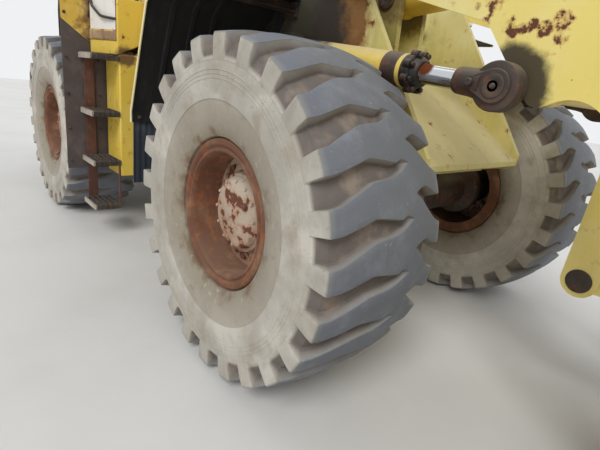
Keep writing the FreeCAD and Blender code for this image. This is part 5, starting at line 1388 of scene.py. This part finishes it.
# %% Rails, mirrors and lamps
mirror_face = Finish("mirror_face", (222, 226, 230), 0.04, 1.0).done()
lamp_clear = Finish("lamp_clear", (232, 236, 238), 0.12)
lamp_clear.layer(lamp_clear.spots(9, 0.45, 0.7), (205, 204, 196), 0.3)
lamp_clear = lamp_clear.bump(lamp_clear.noise(60), 0.002).done()
lamp_red = worn_metal("lamp_red", (168, 30, 24), (190, 48, 36), 0.0, 0.0, 0.25, 73, 0.3)
lamp_amber = worn_metal("lamp_amber", (222, 128, 30), (236, 150, 52), 0.0, 0.0, 0.25, 75, 0.3)
for word, side in SIDES:
    x, top = -1.195, 2.892
    bow = tube("rail", [(x, side * 1.09, 2.051), (x, side * 1.09, top), (x, side * 0.85, top), (x, side * 0.85, 2.051)],
               0.0175, 0.09, 5)
    middle = tube("middle_rail", [(x, side * 1.085, 2.48), (x, side * 0.855, 2.48)], 0.013, 0, 4)
    feet = [turned("foot", [(0, 0), (0, 0.045), (0.01, 0.043), (0.012, 0.022), (0.03, 0.0185), (0.03, 0)],
                   (x, side * y, 2.0505), (0, 0, 1), 24) for y in (0.85, 1.09)]
    fit(joined(f"handrail_{word}", [bow, middle, *feet]), "rear_frame", iron_black, "dark_steel", "handrails")
    shell = cross_plate("mirror_shell", [(side * 0.942, 2.902, 0.04), (side * 1.138, 2.902, 0.04), (side * 1.138, 3.298, 0.04),
                                         (side * 0.942, 3.298, 0.04)], -0.2345, -0.2015, 0.009)
    bracket = tube("mirror_arm", [(-0.262, side * 0.78, 3.25), (-0.222, side * 0.80, 3.25), (-0.218, side * 0.95, 3.25)],
                   0.0135, 0.02, 4)
    plate_foot = block("mirror_foot", *[tuple(v) for v in ((-0.2595, min(side * 0.762, side * 0.799), 3.232),
                                                           (-0.21, max(side * 0.762, side * 0.799), 3.268))], 0.005)
    fit(joined(f"mirror_{word}", [shell, bracket, plate_foot]), "rear_frame", plastic_black, "console_plastic", "mirrors")
    face = cross_plate(f"mirror_face_{word}", [(side * 0.955, 2.915, 0.03), (side * 1.125, 2.915, 0.03),
                                               (side * 1.125, 3.285, 0.03), (side * 0.955, 3.285, 0.03)], -0.2375, -0.234, 0.001)
    fit(face, "rear_frame", mirror_face, "cab_glass")


def lamp_unit(name, at, way, half, depth, body, node):
    """A lamp with a rounded housing, a rim and a lens; it looks along a direction on X."""
    x, y, z = at
    wide, high = half
    front = x + way * depth
    def ring(grow, corner):
        return [(y - wide - grow, z - high - grow, corner), (y + wide + grow, z - high - grow, corner),
                (y + wide + grow, z + high + grow, corner), (y - wide - grow, z + high + grow, corner)]
    shell = cross_plate("shell", ring(-0.006, 0.02), *sorted((x, front - way * 0.006)), 0.008)
    rim = cross_plate("rim", ring(0, 0.022), *sorted((front - way * 0.022, front - way * 0.008)), 0.003)
    fit(joined(name, [shell, rim]), body, plastic_black, "console_plastic", node)
    lens = cross_plate(name + "_lens", ring(-0.010, 0.016), *sorted((front - way * 0.01, front)), 0.004)
    return fit(lens, body, lamp_clear, "lamp_lens")


for index, (x, y) in enumerate(((-0.26, 0.6), (-0.26, -0.6), (-1.7, 0.6), (-1.7, -0.6))):
    way = 1 if x > -1 else -1
    lamp_unit(f"work_lamp_{index}", (x + (0 if way > 0 else 0.07), y, 3.612), way, (0.078, 0.046), 0.068, "rear_frame",
              "work_lamps")
    fit(block(f"work_lamp_foot_{index}", (x + 0.02, y - 0.02, 3.55), (x + 0.05, y + 0.02, 3.57), 0.003), "rear_frame",
        iron_black, "dark_steel")
for word, side in SIDES:
    lens = lamp_unit(f"tail_lamp_{word}", (-3.962, side * 0.635, 1.6), -1, (0.044, 0.099), 0.037, "rear_frame", "work_lamps")
    lens.data.materials.clear()
    lens.data.materials.append(lamp_red)
    strip = cross_plate(f"tail_turn_{word}", [(side * 0.635 - 0.033, 1.512, 0.01), (side * 0.635 + 0.033, 1.512, 0.01),
                                              (side * 0.635 + 0.033, 1.56), (side * 0.635 - 0.033, 1.56)], -3.9998, -3.996, 0.001)
    fit(strip, "rear_frame", lamp_amber, "lamp_lens")
    lamp_unit(f"headlamp_{word}", (0.902, side * 0.94, 2.21), 1, (0.118, 0.088), 0.117, "front_frame", "headlamps")
    stay = plate("stay", [(0.932, 2.041), (0.988, 2.041), (0.978, 2.13), (0.942, 2.13)], *sorted((side * 0.902, side * 0.978)), 0.004)
    low, high = sorted((side * 0.88, side * 1.0))
    fit(joined(f"headlamp_stay_{word}", [stay, block("foot", (0.92, low, 2.0405), (1.0, high, 2.047), 0.003)]),
        "front_frame", iron_dark, "dark_steel")
print("lamps done")


# %% [markdown]
# ## Pins, axles and the bucket's edge
# Every pin ends in a cap with a few bolts. The axle's bulge carries a bolted cover, and the cutting edge
# is held by a row of heavy bolts, because it wears out and is changed.

# %% Pin caps
def pin_cap(name, at, way, radius, height, count, body, finish=iron_greasy):
    """A turned cap with a ring of bolts and a grease nipple in its middle."""
    disc = turned("disc", [(0, 0), (0, radius), (height * 0.7, radius), (height, radius * 0.93), (height, radius * 0.4),
                           (height * 0.7, radius * 0.33), (height * 0.7, 0)], at, way, 40)
    heads = ring_of_bolts("heads", count, radius * 0.68, radius * 0.14, height * 0.9, tuple(Vector(at) + Vector(way) * height), way)
    nipple = turned("nipple", [(0, 0), (0, radius * 0.1), (height, radius * 0.08), (height * 1.2, 0)],
                    tuple(Vector(at) + Vector(way) * height * 0.65), way, 12)
    return fit(joined(name, [disc, heads, nipple]), body, finish, "dark_steel")


for word, side in SIDES:
    out = (0, side, 0)
    pin_cap(f"boom_pin_cap_{word}", (0.86, side * 0.630, 2.33), out, 0.1, 0.016, 6, "front_frame")
    pin_cap(f"lift_base_cap_{word}", (0.85, side * 0.716, 1.728), out, 0.062, 0.01, 4, "front_frame")
    pin_cap(f"bucket_pin_cap_{word}", (3.12, side * 0.673, 0.42), out, 0.075, 0.014, 4, "bucket")
    pin_cap(f"crank_top_cap_{word}", (2.415, side * 0.1505, 2.256), out, 0.058, 0.006, 3, "bellcrank")
    pin_cap(f"crank_low_cap_{word}", (2.56, side * 0.1505, 0.78), out, 0.058, 0.006, 3, "bellcrank")
    pin_cap(f"tilt_pin_cap_{word}", (1.1, side * 0.1505, 2.1), out, 0.062, 0.008, 3, "front_frame")
    pin_cap(f"link_pin_cap_{word}", (3.225, side * 0.1455, 0.79), out, 0.055, 0.008, 3, "bucket")
    collars = [turned("weld", [(0, 0.069), (0, 0.088), (0.008, 0.082), (0.014, 0.071), (0.014, 0.069), (0, 0.069)],
                      (2.36, side * 0.555, 1.64), (0, -side, 0), 36),
               turned("weld", [(0, 0.094), (0, 0.115), (0.01, 0.108), (0.016, 0.097), (0.016, 0.094), (0, 0.094)],
                      (2.64, side * 0.555, 1.70), (0, -side, 0), 36)]
    fit(joined(f"boom_welds_{word}", collars), "boom", paint_arm, "body_yellow")
for index, (z, way) in enumerate(((1.275, 1), (0.715, -1))):
    pin_cap(f"frame_pin_cap_{index}", (-0.425, 0, z), (0, 0, way), 0.085, 0.014, 6, "rear_frame")

# %% Axle covers
for end, x, way in (("front", 1.29, 1), ("rear", -2.14, -1)):
    body = end + "_frame" if end == "front" else "rear_frame"
    at = (x + way * 0.11, 0, 0.875)
    cover = turned("cover", [(0, 0), (0, 0.205), (0.012, 0.205), (0.022, 0.195), (0.03, 0.165), (0.075, 0.14), (0.105, 0.10),
                             (0.118, 0.05), (0.12, 0)], at, (way, 0, 0), 40)
    heads = ring_of_bolts("heads", 16, 0.182, 0.012, 0.012, (x + way * 0.125, 0, 0.875), (way, 0, 0))
    plug = bolt("plug", 0.018, 0.016, (x + way * 0.2, 0, 0.80), (way, 0, -0.5))
    fit(joined(f"axle_cover_{end}", [cover, heads, plug]), body, iron_dark, "dark_steel")

# %% Bucket edge, wear strips and stiffeners
heads = bolts("edge_bolts", [(4.1, y, 0.04) for y in between(-1.38, 1.38, 16)], 0.022, 0.014, (0, 0, 1))
fit(heads, "bucket", iron_edge, "worn_steel")
wear = [block("wear", (3.745, y - 0.06, 0.0015), (3.98, y + 0.06, 0.0095), 0.003) for y in between(-1.3, 1.3, 6)]
cutters = [plate("cutter", [(3.98, 0.036), (4.09, 0.036), (4.085, 0.13, 0.04), (3.99, 1.15, 0.02), (3.93, 1.2)],
                 *sorted((side * 1.428, side * 1.446)), 0.004) for side in (-1, 1)]
fit(joined("bucket_wear_plates", wear + cutters), "bucket", iron_edge, "worn_steel")
for word, side in SIDES:
    low, high = sorted((side * 0.8, side * 1.44))
    box_rib = plate(f"bucket_stiffener_{word}", [(3.50, 1.0), (3.44, 1.03), (3.55, 1.23), (3.655, 1.262)], low, high, 0.006)
    shoe = plate("heel", [(3.29, 0.42), (3.279, 0.42), (3.279, 0.62), (3.29, 0.62)], low, high, 0.003)
    fit(joined(f"bucket_stiffener_{word}", [box_rib, shoe]), "bucket", paint_bucket, "body_yellow")
print("pins and bucket done")


# %% [markdown]
# ## Finishes for the frame's own nodes
# A node whose shape is right stays as it is and only gets its finish.

# %% Give the nodes their finishes
NODE_FINISHES = {
    paint_tower: ["front_frame"], paint_arm: ["boom", "bellcrank", "tilt_link"],
    paint_bucket: ["bucket"], iron_edge: ["cutting_edge"],
    paint_body: ["hood", "cab_frame", "cab_roof", "cab_door"],
    paint_dark: ["rear_frame", "counterweight"],
    iron_dark: ["front_axle", "rear_axle", "transmission", "engine"],
    iron_black: ["radiator_grille"],
    glass: ["cab_glass", "door_glass"],
    plastic_black: ["steering_console"],
}
for finish, names in NODE_FINISHES.items():
    for name in names:
        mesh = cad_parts[name].data
        mesh.materials.clear()
        mesh.materials.append(finish)


# %% [markdown]
# ## Studio and camera
# The floor and backdrop are pale, and the lamps are large, so shadows stay soft. The camera stands
# where the photographer stood: at eye height beside the front right wheel, looking back and up.

# %% Floor, lamps and camera
def studio():
    bpy.ops.object.select_all(action="DESELECT")
    bpy.ops.mesh.primitive_plane_add(size=60, location=(0, 0, -0.001))
    floor = bpy.context.object
    floor.name = "studio_floor"
    finish = Finish("floor_finish", (226, 225, 221), 0.9)
    finish.layer(finish.spots(0.6, 0.4, 0.7), (218, 216, 211))
    floor.data.materials.append(finish.done())
    floor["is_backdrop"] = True
    world = bpy.data.worlds.new("studio")
    bpy.context.scene.world = world
    world.use_nodes = True
    tree = world.node_tree
    sky = tree.nodes["Background"]
    sky.inputs["Color"].default_value = rgb(236, 240, 246)
    sky.inputs["Strength"].default_value = 0.45
    shown = tree.nodes.new("ShaderNodeBackground")
    shown.inputs["Color"].default_value = rgb(240, 241, 243)
    path = tree.nodes.new("ShaderNodeLightPath")
    seen = tree.nodes.new("ShaderNodeMath")
    seen.operation = "MAXIMUM"
    mixed = tree.nodes.new("ShaderNodeMixShader")
    tree.links.new(path.outputs["Is Camera Ray"], seen.inputs[0])
    tree.links.new(path.outputs["Is Glossy Ray"], seen.inputs[1])
    through = tree.nodes.new("ShaderNodeMath")
    through.operation = "MAXIMUM"
    tree.links.new(seen.outputs[0], through.inputs[0])
    tree.links.new(path.outputs["Is Transmission Ray"], through.inputs[1])
    tree.links.new(through.outputs[0], mixed.inputs[0])
    tree.links.new(sky.outputs[0], mixed.inputs[1])
    tree.links.new(shown.outputs[0], mixed.inputs[2])
    tree.links.new(mixed.outputs[0], tree.nodes["World Output"].inputs["Surface"])


def lamp(name, at, spread, power):
    """A distant lamp, as large in the sky as its spread says, so the light is even over the floor."""
    light = bpy.data.lights.new(name, "SUN")
    light.angle = math.radians(spread)
    light.energy = power
    lamp_object = bpy.data.objects.new(name, light)
    lamp_object.location = at
    lamp_object.rotation_euler = (-Vector(at)).to_track_quat("-Z", "Y").to_euler()
    bpy.context.scene.collection.objects.link(lamp_object)


studio()
lamp("key", (5.0, -8.0, 9.0), 28, 1.75)
lamp("fill", (7.0, 7.0, 6.0), 60, 0.5)
lamp("back", (-9.0, 2.0, 7.0), 60, 0.55)

camera = bpy.data.cameras.new("photo_camera")
camera.sensor_width = 36.0
camera.lens = 26.03
camera.clip_start = 0.05
viewer = bpy.data.objects.new("photo_camera", camera)
azimuth, pitch, roll = math.radians(47.689), math.radians(17.80), math.radians(6.416)
ahead = Vector((-math.sin(azimuth) * math.cos(pitch), math.cos(azimuth) * math.cos(pitch), -math.sin(pitch)))
level = Vector((math.cos(azimuth), math.sin(azimuth), 0))
above = level.cross(ahead)
right = math.cos(roll) * level + math.sin(roll) * above
upright = -math.sin(roll) * level + math.cos(roll) * above
turn = Matrix((right, upright, -ahead)).transposed()
viewer.matrix_world = Matrix.Translation((3.087, -2.475, 1.533)) @ turn.to_4x4()
bpy.context.scene.collection.objects.link(viewer)
bpy.context.scene.camera = viewer
bpy.context.scene.view_settings.view_transform = "Standard"

# %% [markdown]
# ## Bounding boxes
# The dressed machine has to stay inside the frame's own box, so both boxes are kept to compare.

# %% Finish
low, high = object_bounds()
{"cad": [list(cad_low), list(cad_high)], "visual": [list(low), list(high)]}
print("visual box:", [round(v, 3) for v in (*low, *high)])
